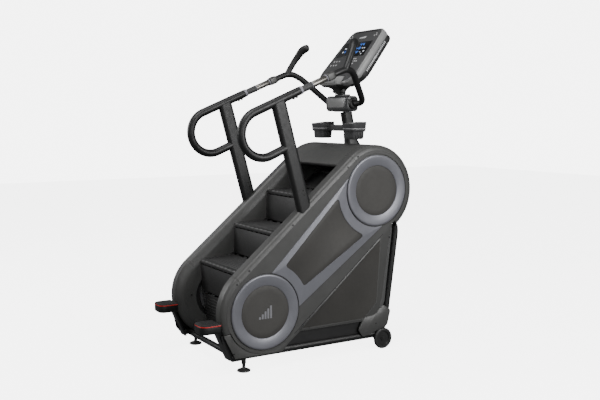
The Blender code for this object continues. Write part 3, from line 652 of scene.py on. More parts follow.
def bow(clear, low_out, high_out, low_in, high_in, steps=24):
    """Outline between the discs: a concave end of radius clear at each disc, and straight long edges.

    The ends meet the long edges at these distances out from the discs' line.
    """
    up = math.degrees(INCLINE)

    def angle(out):
        return math.degrees(math.asin(out / clear))
    outline = arc(LOWER_DISC, clear, up + angle(low_out), up + angle(low_in), steps)
    return outline + arc(UPPER_DISC, clear, up + 180 - angle(high_in), up + 180 - angle(high_out), steps)


def make_trim(side, name):
    outer = soften(bow(RING_R + 0.007, TRIM_LOW, TRIM_HIGH, -TRIM_LOW, -TRIM_HIGH), 0.003)
    inner = soften(bow(INSET_R, 0.111, 0.164, -0.073, -0.148), 0.020)
    piece(f"trim_frame_{name}", facet_frame(outer, inner, side, 0.3737, 0.3782), SILVER,
          stands_for=f"side_trim_{name}", sharp=12)
    inset = layers(inner, ((0.3715, 0.0004), (0.3742, 0.0004), (0.3747, 0.0012)), side)
    piece(f"trim_inset_{name}", shell_of(inset), WARM, sharp=50)


def facet_frame(outer, inner, side, x_edge, x_top):
    """A faceted border between two outlines: thin outer edge, sloped face, and wall down to the inset."""
    bm = bmesh.new()
    rise_line, lip_line = shrink(outer, 0.0015), shrink(inner, 0.0008)
    back, low, rise, high, lip, wall = (
        [bm.verts.new((side * x, y, z)) for y, z in line] for x, line in
        ((TRIM_BACK, outer), (x_edge, outer), (x_edge + 0.0012, rise_line), (x_top, inner),
         (x_top - 0.0006, lip_line), (TRIM_BACK, lip_line)))
    for a, b in ((back, low), (low, rise), (high, lip), (lip, wall)):
        for i in range(len(a)):
            j = (i + 1) % len(a)
            bm.faces.new((a[i], a[j], b[j], b[i]))
    for one, two in ((rise, high), (wall, back)):
        edges = [bm.edges.get((loop[i], loop[(i + 1) % len(loop)]))
                 for loop in (one, two) for i in range(len(loop))]
        bmesh.ops.bridge_loops(bm, edges=edges)
    return bm


PANEL_FACE = 0.3650                                # where what lies on the lower cover starts


def make_lower_panel(side, name):
    """Lower cover, panel with its raised border, front flange, floor skirt and corner cover."""
    clear = SKIRT_R + 0.0015
    edge = arc(LOWER_DISC, clear, 205, TANGENT + 180, 40) + [on_incline(DISC_SPAN * 0.965, -clear)]
    outline = edge + [(0.584, 0.745), (0.528, 0.300), (0.512, 0.250), (0.470, 0.205), (0.430, 0.190),
                      (-0.080, 0.190), (-0.160, 0.128), (-0.200, 0.086), (-0.505, 0.086), (-0.576, 0.226)]
    piece(f"lower_cover_{name}", prism(outline, 0.3605, 0.3655, side), GREY,
          stands_for=f"lower_panel_{name}", bevel=0.0015, segments=2, sharp=30)
    tip, top = on_incline(0.075, -0.2475), on_incline(0.868, -0.2475)
    field = rounded_outline([(*tip, 0.006), (0.378, 0.200, 0.06), (0.478, 0.292, 0.07), (*top, 0.010)], 10)
    border = ((PANEL_FACE, 0.0), (0.3672, 0.0004), (0.3690, 0.0050), (0.3690, 0.0100), (PANEL_FACE, 0.0104))
    piece(f"lower_border_{name}", ring_of(layers(field, border, side)), GREY, sharp=20)
    inside = ((PANEL_FACE, 0.0106), (0.3684, 0.0106), (0.3688, 0.0114))
    piece(f"lower_field_{name}", shell_of(layers(field, inside, side)), WARM, sharp=50)
    # A black strip along the gap between the housing's skirt edge and the panel field: painted shade in the
    # gap.
    gap = across_incline(0.4675, 0.4175, -0.2412, -0.2468)
    piece(f"panel_gap_shade_{name}", prism(gap, PANEL_FACE, 0.3659, side), HOLE)
    flange = ((0.590, 0.765), (0.573, 0.755), (0.510, 0.310), (0.488, 0.258), (0.520, 0.262), (0.534, 0.300))
    flange = rounded_outline([(y, z, 0.008) for y, z in flange], 5)
    levels = ((PANEL_FACE, 0.0), (0.3672, 0.0008), (0.3682, 0.0060))
    piece(f"lower_flange_{name}", shell_of(layers(flange, levels, side)), CAP_GREY, sharp=20)
    skirt = [(-0.160, 0.1135), (0.372, 0.1135), (0.400, 0.150), (0.400, 0.189), (-0.085, 0.189),
             (-0.160, 0.135)]
    piece(f"floor_skirt_{name}", prism(skirt, 0.338, 0.344, side), DARK)
    corner = rounded_outline([(0.380, 0.214, 0.01), (0.338, 0.140, 0.02), (0.372, 0.090, 0.02),
                              (0.560, 0.139, 0.04), (0.585, 0.240, 0.02), (0.520, 0.282, 0.02),
                              (0.462, 0.222, 0.05)], 7)
    levels = ((0.3600, 0.0), (0.3660, 0.0010), (0.3680, 0.0035))
    piece(f"corner_cover_{name}", shell_of(layers(corner, levels, side)), GREY, sharp=40)
    places = ((-0.515, 0.118), (0.167, 0.420), (0.568, 0.700), (0.508, 0.262), (0.470, 0.165), (-0.02, 0.205))
    piece(f"panel_screws_{name}", join([screw_head(side, place, 0.3642, 0.0045) for place in places]), HOLE)


# ---------------------------------------------------------------- frame, wheels, feet, footrests

TUBE_X, TUBE_Z, TUBE_R = 0.334, 0.092, 0.0225
WHEEL_AXIS, WHEEL_R = (0.522, 0.0655), 0.0655
FOOT_Y = -0.437


def base_tube(side):
    """One side's tube: along the floor, round the bend and up to the housing."""
    x, bend_y, bend_r = side * TUBE_X, 0.46, 0.100
    path = [(x, -0.515, TUBE_Z), (x, -0.513, TUBE_Z), (x, bend_y, TUBE_Z)]
    path += [(x, y, z) for y, z in arc((bend_y, TUBE_Z + bend_r), bend_r, -90, -8.5, 14)][1:]
    path += smooth([(x, 0.6275, 0.680), (x, 0.633, 0.730), (x, 0.627, 0.765), (x, 0.606, 0.790)], 5)
    return swept(path, circle(TUBE_R, 32))


def make_frame():
    parts = [(ADD, base_tube(-1))]
    for y in (-0.488, 0.430):
        parts.append((ADD, swept([(-TUBE_X, y, TUBE_Z), (TUBE_X, y, TUBE_Z)], circle(0.018, 24))))
    for side in (-1, 1):
        bracket = rounded_outline([(0.450, 0.085, 0.004), (0.500, 0.045, 0.012), (0.545, 0.045, 0.012),
                                   (0.556, 0.150, 0.004)])
        plate = arc(LOWER_DISC, SKIRT_R + 0.002, 206, 232, 10)
        plate += [(-0.440, 0.069), (-0.521, 0.069), (-0.562, 0.122), (-0.586, 0.224)]
        clearance = [(0.300, BODY_R + 0.001), (0.370, BODY_R + 0.001)]
        parts += [(ADD, prism(bracket, 0.326, 0.338, side)),
                  (ADD, turned(WHEEL_AXIS, [(0.330, 0.009), (0.3790, 0.009)], 24, side)),
                  (ADD, prism(plate, 0.3445, 0.3525, side)),
                  (CUT, turned(UPPER_DISC, clearance, 96, side))]
    piece("floor_frame", combine(base_tube(1), *parts), FRAME_PAINT, stands_for="base_frame", sharp=40)
    caps = [swept([(side * TUBE_X, y, TUBE_Z) for y in (-0.519, -0.5145)], circle(TUBE_R + 0.0006, 32))
            for side in (-1, 1)]
    piece("tube_caps", join(caps), RUBBER, bevel=0.0015)


def make_wheel(side, name):
    inner, outer, bore = 0.3585, 0.3798, 0.0096
    middle, tread = (inner + outer) / 2, WHEEL_R
    tyre = [(inner + 0.0005, 0.049), (inner, 0.052), (inner, tread - 0.006), (inner + 0.002, tread - 0.002),
            (inner + 0.006, tread), (outer - 0.006, tread), (outer - 0.002, tread - 0.002),
            (outer, tread - 0.006), (outer, 0.052), (outer - 0.0005, 0.049)]
    piece(f"wheel_tyre_{name}", tube_ring(WHEEL_AXIS, tyre, 64, side), RUBBER, f"wheel_{name}",
          stands_for=f"wheel_{name}", sharp=40)
    hub = [(inner + 0.003, bore), (inner + 0.003, 0.0490), (outer - 0.0015, 0.0488), (outer - 0.0015, 0.0440),
           (middle + 0.003, 0.0405), (middle + 0.003, 0.018), (outer - 0.002, 0.016), (outer - 0.002, bore)]
    piece(f"wheel_hub_{name}", tube_ring(WHEEL_AXIS, hub, 64, side), DARK, f"wheel_{name}", sharp=40)
    bolt = [(0.3770, 0.0088), (0.3794, 0.0080), (0.3799, 0.006)]
    piece(f"wheel_bolt_{name}", turned(WHEEL_AXIS, bolt, 24, side), DARK)


def make_foot(side, name):
    stations = [(0.0, 0.0360), (0.0015, 0.0388), (0.0050, 0.0395), (0.0095, 0.0370), (0.0130, 0.0290),
                (0.0160, 0.0180), (0.0200, 0.0130), (0.0240, 0.0105), (0.0300, 0.0095), (0.0310, 0.0095),
                (0.0440, 0.0110), (0.0480, 0.0135), (0.0695, 0.0135)]
    rings = [[(x, y, z) for x, y in circle(r, 40, (side * TUBE_X, FOOT_Y))] for z, r in stations]
    piece(f"foot_pad_{name}", shell_of(rings), RUBBER, f"levelling_foot_{name}",
          stands_for=f"levelling_foot_{name}", sharp=35)


FOOTREST_X = 0.3035


def footrest_level(side, z, inset):
    """The footrest's outline at this height: straight against the housing, rounded towards the user."""
    half, front, rear, corner = 0.0635 - inset, -0.5938, -0.710 + inset, 0.042 - inset
    low, high = FOOTREST_X - half, FOOTREST_X + half
    outline = [(low, front), *arc((low + corner, rear + corner), corner, 180, 270, 10),
               *arc((high - corner, rear + corner), corner, 270, 360, 10), (high, front)]
    return [(side * x, y, z) for x, y in outline]


def make_footrest(side, name):
    def solid(*levels):
        return shell_of([footrest_level(side, z, inset) for z, inset in levels])
    body = solid((0.2465, 0.006), (0.252, 0.001), (0.260, 0.0), (0.288, 0.0), (0.2885, 0.0012))
    bracket = [(-0.604, 0.258), (-0.5945, 0.258), (-0.5945, 0.250), (-0.519, 0.075), (-0.531, 0.075),
               (-0.611, 0.258)]
    piece(f"footrest_body_{name}", combine(body, (ADD, prism(bracket, 0.283, 0.344, side))), FRAME_PAINT,
          stands_for=f"footrest_{name}", bevel=0.0008, segments=2)
    strip = solid((0.2884, 0.0005), (0.2890, 0.0), (0.2935, 0.0), (0.2941, 0.0005))
    piece(f"footrest_strip_{name}", strip, RED, sharp=50)
    top = solid((0.2942, 0.0008), (0.2980, 0.0008), (0.2990, 0.0025))
    piece(f"footrest_top_{name}", top, RUBBER, sharp=50)
    ribs = []
    for i in range(8):
        reach = 0.052 if i < 6 else 0.040 - 0.010 * (i - 6)
        outline = rounded_outline(rectangle(FOOTREST_X, -0.607 - i * 0.0115, 2 * reach, 0.0056, 0.0027), 4)
        ribs.append(shell_of([[(side * a, b, z) for a, b in outline] for z in (0.2985, 0.3000)]))
    piece(f"footrest_ribs_{name}", join(ribs), RUBBER, sharp=50)


# ---------------------------------------------------------------- covers between the sides

HOOD_LIP, HOOD_END = 0.939, 50.0                   # along the incline, and degrees round the upper disc
COVER_HALF = 0.296                                 # reaches over the sloping inner edges of the housings
COVER_R, COVER_SKIN = BODY_R - 0.0008, 0.004
MAST_LOW, MAST_HIGH = Vector((0.560, 1.128)), Vector((0.4875, 1.476))
MAST_UNIT = (MAST_HIGH - MAST_LOW).normalized()
MAST_SEAT = (0.0268, 0.0408)                       # the hole that a clamped part has for the mast


def mast_path(low_extra=0.0, top_extra=0.0, steps=1):
    low, high = MAST_LOW - MAST_UNIT * low_extra, MAST_HIGH + MAST_UNIT * top_extra
    return [(0.0, *(low + (high - low) * i / steps)) for i in range(steps + 1)]


def make_covers():
    line = [on_incline(HOOD_LIP + a, BODY_R - drop)
            for a, drop in ((0.004, 0.024), (0.0, 0.008), (0.003, 0.002), (0.010, 0.0005))]
    line += arc(UPPER_DISC, COVER_R, TANGENT, HOOD_END, 36)
    hole = swept(mast_path(0.0, 0.2), oval(0.029, 0.044))
    piece("hood_shell", combine(bent_sheet(line, COVER_SKIN, COVER_HALF), (CUT, hole)), GREY,
          stands_for="top_hood", sharp=30)
    line = arc(UPPER_DISC, COVER_R, HOOD_END - 0.3, -62.5, 48)
    line += smooth([(0.560, 0.300), (0.548, 0.240), (0.500, 0.150)], 5)
    piece("front_shell", bent_sheet(line, COVER_SKIN, COVER_HALF), GREY, stands_for="front_cover", sharp=30)


# ---------------------------------------------------------------- mast, hub, cups

HUB, HUB_HALF = (0.455, 1.526), 0.105
CUP_PLACE = (0.180, 0.427)


def make_mast():
    beam_half = HOUSING_IN - 0.0003
    beam = swept([(-beam_half, 0.561, 1.122), (beam_half, 0.561, 1.122)], circle(0.020, 32))
    post = swept(mast_path(0.0, -0.002, 6), oval(0.0265, 0.0405))
    piece("mast_tube", combine(post, (ADD, beam)), FRAME_PAINT, stands_for="mast", sharp=40)
    base = MAST_LOW + MAST_UNIT * 0.128
    boot = ((0.0, 1.45), (0.006, 1.42), (0.016, 1.30), (0.030, 1.17), (0.060, 1.08), (0.085, 1.05),
            (0.088, 1.02))
    boot_path = [(0.0, *(base + MAST_UNIT * d), k) for d, k in boot]
    piece("mast_boot", swept(boot_path, oval(0.0272, 0.0412)), DARK, sharp=50)
    make_hub()


def make_hub():
    y, z = HUB
    ends = ((0.1228, 0.0310, 0.0200), (0.1195, 0.0400, 0.0210), (0.1120, 0.0460, 0.0200),
            (0.1000, 0.0490, 0.0180))
    levels = [(-x, half, r) for x, half, r in ends] + list(ends[::-1])
    hub = shell_of([[(x, b, c) for b, c in rounded_outline(rectangle(y, z, 2 * half, 2 * half, r))]
                    for x, half, r in levels])
    neck = rounded_outline([(y - 0.030, z + 0.015, 0.002), (y + 0.032, z + 0.015, 0.002),
                            (y + 0.034, 1.5862, 0.004), (y - 0.024, 1.5862, 0.004)])
    seat = swept(mast_path(), oval(0.029, 0.043))
    piece("hub_cover", combine(hub, (ADD, prism(neck, -0.045, 0.045)), (CUT, seat)), HOLDER,
          stands_for="hub_housing", sharp=25)
    front = rounded_outline(rectangle(0.0, z + 0.0045, 0.188, 0.057, 0.012, 0.006), 5)
    plate = [[(a, y - 0.0486 - d, c) for a, c in shrink(front, inset)]
             for d, inset in ((0.0, 0.0), (0.0008, 0.0), (0.0016, 0.0020))]
    piece("hub_front", shell_of(plate), CONSOLE, sharp=40)
    collar_profile = ((0.1150, 0.0170), (0.1150, 0.0345), (0.1300, 0.0350), (0.1375, 0.0320),
                      (0.1400, 0.0290), (0.1400, 0.0170))
    piece("hub_collars", join([tube_ring(HUB, collar_profile, 48, side) for side in (-1, 1)]), DARK, sharp=40)
    tray = rounded_outline([(y - 0.044, 1.4835, 0.004), (y - 0.036, 1.4735, 0.004),
                            (y + 0.050, 1.4735, 0.004), (y + 0.056, 1.4835, 0.004)], 4)
    mast_hole = swept(mast_path(0.0, 0.05), oval(*MAST_SEAT))
    piece("hub_tray", combine(prism(tray, -0.034, 0.034), (CUT, mast_hole)), COLLAR, bevel=0.0012)


def cup_level(side, z, half, corner=0.022, tilt=0.0):
    """A rounded square round the cup's axis, rising towards the back when tilted."""
    x, y = side * CUP_PLACE[0], CUP_PLACE[1]
    corners = [(x + a * half, y + b * half, corner) for a, b in ((1, 1), (-1, 1), (-1, -1), (1, -1))]
    return [(a, b, z + (b - y) * tilt) for a, b in rounded_outline(corners, 8)]


def make_cup_holder():
    arm = rounded_outline([(0.428, 1.352, 0.006), (0.474, 1.352, 0.004), (0.474, 1.392, 0.004),
                           (0.428, 1.392, 0.006)], 5)
    changes = [(CUT, swept(mast_path(), oval(*MAST_SEAT)))]
    walls = ((1.304, 0.038, 0.016), (1.307, 0.043, 0.016), (1.313, 0.0455, 0.016), (1.350, 0.0485, 0.018),
             (1.3525, 0.0550, 0.022), (1.3560, 0.0565, 0.022), (1.398, 0.0600, 0.022, 0.10),
             (1.4045, 0.0606, 0.022, 0.10), (1.4060, 0.0598, 0.022, 0.10))
    inside = ((1.3120, 0.038, 0.018), (1.3135, 0.0410, 0.018), (1.352, 0.0440, 0.018), (1.356, 0.0525, 0.020),
              (1.398, 0.0560, 0.020), (1.430, 0.0590, 0.022))
    for side in (-1, 1):
        changes += [(operation, shell_of([cup_level(side, *level) for level in levels]))
                    for operation, levels in ((ADD, walls), (CUT, inside))]
    piece("cup_body", combine(prism(arm, -0.135, 0.135), *changes), HOLDER, stands_for="cup_holder", sharp=30)
    line = ((1.3665, 0.0565), (1.3665, 0.0583), (1.3715, 0.0588), (1.3715, 0.0565))
    for side, name in SIDES:
        piece(f"cup_line_{name}", ring_of([cup_level(side, z, half) for z, half in line]), BRIGHT)
        ribs = []
        for s in (-1, 1):
            for a in (-0.020, 0.0, 0.020):
                rib = rounded_outline(rectangle(CUP_PLACE[1] + a, 1.3305, 0.006, 0.037, 0.0))
                x = side * CUP_PLACE[0]
                ribs.append(prism(rib, x + s * 0.044, x + s * 0.0500))
        piece(f"cup_ribs_{name}", join(ribs), DARK, bevel=0.0008, segments=2)


# ---------------------------------------------------------------- console

FACE_LOW, FACE_TILT = Vector((0.0, 0.4345, 1.730)), math.radians(50.3)
FACE_UP = Vector((0.0, math.cos(FACE_TILT), math.sin(FACE_TILT)))
FACE_OUT = Vector((0.0, -FACE_UP.z, FACE_UP.y))
FACE_TOP, FACE_BOTTOM = 0.361, -0.100              # the console's edges, measured up the face from FACE_LOW
FACE_BEND = 0.190                                  # above it the sides lean in more
BUTTON_SPOT = Vector((0.0, 0.374, 1.696))
MEMBRANE, SCREEN = 0.0036, 0.0048                  # how far out the keys and the display's signs start


def on_face(a, b, out=0.0):
    """A point on the console: a to the right, b up the face, out towards the user."""
    return FACE_LOW + Vector((a, 0, 0)) + FACE_UP * b + FACE_OUT * out


def face_outline(inset, bottom=FACE_BOTTOM, steps=14):
    """The console's outline: wider at the bottom, with wide lower corners and tighter upper ones.

    A negative inset widens only the sides.
    """
    wide, middle, narrow = 0.207 - inset, 0.191 - inset, 0.177 - inset
    low, top = 0.095, 0.050
    shorter = max(inset, 0.0002)
    right = arc((wide - low, bottom + shorter + low), low, 270, 356, steps)
    right += [(middle, FACE_BEND)] + arc((narrow - top, FACE_TOP - shorter - top), top, 4, 90, steps)
    return right + [(-a, b) for a, b in right[::-1]]


def half_width(b):
    """The console's half width beside the face, between its lower and upper corners."""
    if b < FACE_BEND:
        return 0.2068 + (0.191 - 0.2068) * (b + 0.012) / (FACE_BEND + 0.012)
    return 0.191 + (0.177 - 0.191) * (b - FACE_BEND) / 0.124


def face_rings(levels):
    return shell_of([[on_face(a, b, out) for a, b in face_outline(inset, bottom)]
                     for out, inset, bottom in levels])


def tray_part(levels, grow=0.0):
    """Part of the ledge in front of the console's lower end, wider at its back, from (z, inset) levels."""
    rings = []
    for z, inset in levels:
        half, front, back = 0.100 - inset + grow, 0.345 + inset - grow, 0.4155
        corners = [(half, front, 0.010), (half + 0.018, 0.386, 0.030), (half, back, 0.001),
                   (-half, back, 0.001), (-half - 0.018, 0.386, 0.030), (-half, front, 0.010)]
        rings.append([(x, y, z) for x, y in rounded_outline(corners, 5)])
    return shell_of(rings)


def round_button(radius, low, high, sides=40, edge=0.0012):
    """An upright round shape on the ledge, from low to high above its top."""
    levels = ((low, radius), (high - edge, radius), (high - edge * 0.3, radius - edge * 0.4),
              (high, radius - edge * 1.2))
    return shell_of([[BUTTON_SPOT + Vector((a, b, z)) for a, b in circle(r, sides)] for z, r in levels])


def plate_on_face(corners, out_low, out_high, steps=5, edge=0.0006):
    outline = rounded_outline(corners, steps)
    levels = ((out_low, 0.0), (out_high - edge, 0.0), (out_high, edge))
    return shell_of([[on_face(a, b, out) for a, b in shrink(outline, d)] for out, d in levels])


SEGMENTS = {"0": "abcdef", "1": "bc", "2": "abged", "4": "fgbc", "5": "afgcd", "6": "afgedc", "8": "abcdefg"}


def digits(text, a, b, size):
    """Seven-segment digits as thin bars on the display."""
    bars = []
    w, h, t = size * 0.5, size, size * 0.11
    spots = {"a": (0, h / 2, w, t), "g": (0, 0, w, t), "d": (0, -h / 2, w, t), "f": (-w / 2, h / 4, t, h / 2),
             "b": (w / 2, h / 4, t, h / 2), "e": (-w / 2, -h / 4, t, h / 2), "c": (w / 2, -h / 4, t, h / 2)}
    for i, letter in enumerate(text):
        for name in SEGMENTS[letter]:
            da, db, bw, bh = spots[name]
            bar = rectangle(a + i * size * 0.78 + da, b + db, bw * 0.92, bh * 0.92, t * 0.3)
            bars.append(plate_on_face(bar, 0.0050, 0.0054, 2, 0.0001))
    return bars


def make_console():
    make_console_shell()
    make_ledge()
    make_display()
    make_keys()
    make_console_trim()


def make_console_shell():
    bow_low = -0.100
    levels = ((-0.0030, 0.0105, bow_low), (-0.0030, 0.0080, bow_low), (-0.0002, 0.0072, bow_low),
              (0.0, 0.0060, bow_low), (-0.0020, 0.0038, bow_low), (-0.0070, 0.0004, bow_low),
              (-0.0180, -0.0026, -0.0990), (-0.0320, -0.0030, -0.0945), (-0.0410, -0.0018, -0.0900),
              (-0.0440, 0.0004, -0.0885), (-0.0445, 0.0030, -0.0880))
    piece("console_body", face_rings(levels), CONSOLE, stands_for="console_shell", sharp=30)
    levels = ((-0.0442, 0.0045, -0.0860), (-0.0455, 0.0022, -0.0860), (-0.0760, 0.0010, -0.0680),
              (-0.0840, 0.0050, -0.0560), (-0.0880, 0.0160, -0.0300))
    piece("console_back", face_rings(levels), DARK, sharp=50)
    neck = []
    for z, half, front, back in ((1.5870, 0.036, 0.420, 0.464), (1.6060, 0.038, 0.414, 0.466),
                                 (1.6180, 0.046, 0.404, 0.472), (1.6310, 0.066, 0.380, 0.480)):
        corners = [(half, front, 0.012), (half, back, 0.012), (-half, back, 0.012), (-half, front, 0.012)]
        neck.append([(x, y, z) for x, y in rounded_outline(corners, 4)])
    piece("console_neck", shell_of(neck), DARK, sharp=40)
    knob = [(0.036, 0.013), (0.056, 0.013), (0.058, 0.011)]
    piece("console_knobs", join([turned((0.432, 1.607), knob, 32, side) for side in (-1, 1)]), DARK,
          bevel=0.001)


def make_ledge():
    """The ledge under the face, with the well for its stop button, and the plain line and dot on its front.
    """
    ledge = tray_part(((1.6412, 0.0100), (1.6440, 0.0040), (1.6500, 0.0008), (1.6880, 0.0), (1.6930, 0.0020),
                       (1.6960, 0.0060)))
    well = round_button(0.0160, -0.0070, 0.03)
    piece("console_ledge", combine(ledge, (CUT, well)), CONSOLE, sharp=30)
    underside = tray_part(((1.6305, 0.024), (1.6335, 0.016), (1.6400, 0.0105), (1.6416, 0.0105)))
    piece("ledge_underside", underside, DARK, sharp=40)
    front, proud = 0.3470, 0.3444
    groove = rounded_outline(rectangle(0.0, 1.6685, 0.160, 0.031, 0.006), 5)
    line = [[(a, y, c) for a, c in shrink(groove, d)]
            for y, d in ((front, 0.0), (proud, 0.0), (proud, 0.0016), (front, 0.0016))]
    piece("ledge_line", ring_of(line), DARK)
    dot = [[(a, y, c) for a, c in circle(0.0034, 20, (-0.066, 1.668))] for y in (front, 0.3440)]
    piece("ledge_dot", shell_of(dot), HOLE)


def make_display():
    levels = ((0.0003, 0.0), (0.0034, 0.0), (0.0040, 0.0008))
    outline = face_outline(0.010)
    face = shell_of([[on_face(a, b, out) for a, b in shrink(outline, d)] for out, d in levels])
    ledge = tray_part(((1.60, 0.0), (1.70, 0.0)), grow=0.001)
    piece("console_panel", combine(face, (CUT, ledge)), BEZEL, stands_for="console_face", sharp=50)
    recess = [(-0.135, 0.332, 0.006), (0.135, 0.332, 0.006), (0.130, 0.344, 0.006), (-0.130, 0.344, 0.006)]
    piece("console_recess", plate_on_face(recess, 0.0030, 0.0043), DARK)
    screen = [(-0.152, 0.120, 0.008), (0.156, 0.120, 0.008), (0.150, 0.247, 0.008), (-0.147, 0.247, 0.008)]
    piece("display_glass", plate_on_face(screen, MEMBRANE, SCREEN), GLASS, sharp=50)
    lines = digits("4216", 0.040, 0.222, 0.016) + digits("08", 0.048, 0.190, 0.016)
    lines += digits("160", 0.034, 0.156, 0.016) + digits("5", -0.088, 0.166, 0.015)
    arrow = [(0.018, 0.176, 0), (0.034, 0.186, 0), (0.018, 0.200, 0)]
    lines.append(plate_on_face(arrow, SCREEN, 0.0052, 2, 0.0001))
    piece("display_digits", join(lines), BLUE)
    pale = ((0.108, 0.188, 0.014, 0.007), (0.122, 0.160, 0.012, 0.012), (0.112, 0.138, 0.010, 0.008),
            (0.086, 0.188, 0.012, 0.005), (-0.104, 0.196, 0.016, 0.008), (-0.112, 0.166, 0.010, 0.012),
            (0.088, 0.154, 0.010, 0.005))
    piece("display_marks", join([plate_on_face(rectangle(*place, 0.002), SCREEN, 0.0052, 3, 0.0001)
                                 for place in pale]), PALE_BLUE)


def make_keys():
    keys, marks = [], []

    def key(a, b, width, height, radius, steps=4, top=0.0044):
        keys.append(plate_on_face(rectangle(a, b, width, height, radius), MEMBRANE, top, steps, 0.0003))

    def mark(a, b, width, height, radius, low=0.0044, high=0.0047, steps=3):
        marks.append(plate_on_face(rectangle(a, b, width, height, radius), low, high, steps, 0.0001))
    for b, row in ((0.086, (-0.136, -0.106, -0.076)), (0.054, (-0.146, -0.116, -0.086))):
        for a in row:
            key(a, b, 0.022, 0.020, 0.006)
            mark(a, b, 0.011, 0.011, 0.004)
    for b, row in ((0.098, (0.056, 0.076, 0.096)), (0.078, (0.052, 0.072, 0.098, 0.118)),
                   (0.058, (0.050, 0.070, 0.094))):
        for a in row:
            key(a, b, 0.016, 0.015, 0.004)
            mark(a, b, 0.012, 0.0085, 0.003)
    for a in (-0.134, 0.134):
        key(a, 0.300, 0.042, 0.040, 0.0195, steps=8, top=0.0043)
        for da, db in ((-0.010, -0.007), (0.009, -0.005), (0.0, 0.010)):
            mark(a + da, 0.300 + db, 0.010, 0.008, 0.0038, 0.0043, 0.0046)
    piece("console_keys", join(keys), POD)
    for k in range(5):                             # the generic mark above the display: rising bars
        mark(-0.022 + 0.013 * k, 0.283 + 0.0009 * k, 0.0105, 0.0080 + 0.0018 * k, 0.0015, 0.0040, 0.0046, 2)
    piece("console_marks", join(marks), WHITE_MARK)
    piece("stop_cap", round_button(0.0150, -0.0045, 0.0060), RED, "stop_button", stands_for="stop_button",
          sharp=50)


def make_console_trim():
    slots, smile = [], []
    for side in (-1, 1):
        for k in range(20):
            b = 0.045 + k * 0.0125
            half = 0.0062 if k == 9 else 0.0034
            x = half_width(b) - 0.004
            quad = [on_face(side * x, b + db, out)
                    for db, out in ((-half, -0.0480), (half, -0.0480), (half, -0.0600), (-half, -0.0600))]
            slots.append(shell_of([quad, [p + Vector((side * 0.0048, 0, 0)) for p in quad]]))
        line = [on_face(side * a, b, 0.0005) for a, b in arc((0.1075, -0.005), 0.0905, 275, 330, 14)]
        smile.append(swept(line, circle(0.0024, 12)))
    piece("console_slots", join(slots), BRIGHT, sharp=20)
    piece("console_smile", join(smile), BRIGHT, sharp=60)


# ---------------------------------------------------------------- posts, rails, grips, horns

RAIL_X, RAIL_R, BAR_R = 0.343, 0.025, 0.0195
RAIL_SLOPE = math.radians(22.6)
POST_FOOT, POST_LEAN, POST_LENGTH = (-0.0515, 0.946), math.radians(15.5), 0.585
POST_HALF_X, POST_HALF_Y = 0.0245, 0.0465
RAIL_COLLAR, LOOP_CENTRE, LOOP_R = (-0.072, 1.591), (-0.313, 1.346), 0.133
FIT = 0.0003                                       # room left between two pieces that meet


def post_axis(distance, side):
    return (side * RAIL_X, POST_FOOT[0] - distance * math.sin(POST_LEAN),
            POST_FOOT[1] + distance * math.cos(POST_LEAN))


def rail_point(distance, side=1, out=0.0):
    """A place on the rail's straight axis, this far forwards of its collar."""
    c, s = math.cos(RAIL_SLOPE), math.sin(RAIL_SLOPE)
    return (side * RAIL_X, RAIL_COLLAR[0] + distance * c - out * s, RAIL_COLLAR[1] + distance * s + out * c)


def along_rail(side, stations, section):
    return swept([(*rail_point(d, side), k) for d, k in stations], section)


def collar(side, start, end, radius, name, edge=0.0015):
    stations = ((start, 1 - edge / radius), (start + edge, 1.0), (end - edge, 1.0), (end, 1 - edge / radius))
    piece(name, along_rail(side, stations, circle(radius, 40)), COLLAR, sharp=50)


def make_handrail(side, name):
    make_rail_loop(side, name)
    make_post(side, name)
    make_grip(side, name)
    make_front_bar(side, name)


def make_rail_loop(side, name):
    slope = math.degrees(RAIL_SLOPE)
    loop = arc(LOOP_CENTRE, LOOP_R, slope + 90, slope + 270, 40)
    reach = 0.110                                  # from the loop's lower end to inside the post
    end = (loop[-1][0] + reach * math.cos(RAIL_SLOPE), loop[-1][1] + reach * math.sin(RAIL_SLOPE))
    path = [rail_point(0.0, side), rail_point(-0.002, side)]
    path += [(side * RAIL_X, y, z) for y, z in loop + [end]]
    saddle = swept([post_axis(0.20, side), post_axis(0.42, side)], oval(POST_HALF_X + FIT, POST_HALF_Y + FIT))
    piece(f"rail_loop_{name}", combine(swept(path, circle(RAIL_R, 32)), (CUT, saddle)), FRAME_PAINT,
          stands_for=f"handrail_{name}", sharp=40)


def make_post(side, name):
    post = swept([post_axis(-0.070, side), post_axis(POST_LENGTH + 0.02, side)],
                 oval(POST_HALF_X, POST_HALF_Y, 12))
    cope = swept([rail_point(-0.36, side), rail_point(0.05, side)], circle(RAIL_R + FIT, 48))
    block = swept([rail_point(-0.36, side, 0.05), rail_point(0.05, side, 0.05)],
                  [(-0.06, -0.05), (0.06, -0.05), (0.06, 0.05), (-0.06, 0.05)])
    piece(f"post_tube_{name}", combine(post, (CUT, cope), (CUT, block)), FRAME_PAINT,
          stands_for=f"post_{name}", sharp=40)
    bolts = []
    for d in (0.050, 0.080):
        for across in (-1, 1):
            y, z = post_axis(d, side)[1:]
            x = side * RAIL_X
            bolts.append(turned((y + 0.012, z), [(x + across * reach, r) for reach, r in
                                                 ((0.020, 0.0050), (0.0256, 0.0050), (0.0262, 0.0040))], 24))
    piece(f"post_bolts_{name}", join(bolts), HOLE)
    nubs = []
    for d in (-0.030, -0.052):
        place = rail_point(d, side, -0.0255)[1:]
        nubs.append(turned(place, [(side * RAIL_X - 0.007, 0.006), (side * RAIL_X + 0.007, 0.006)], 20))
    piece(f"rail_nubs_{name}", join(nubs), FRAME_PAINT, bevel=0.001)


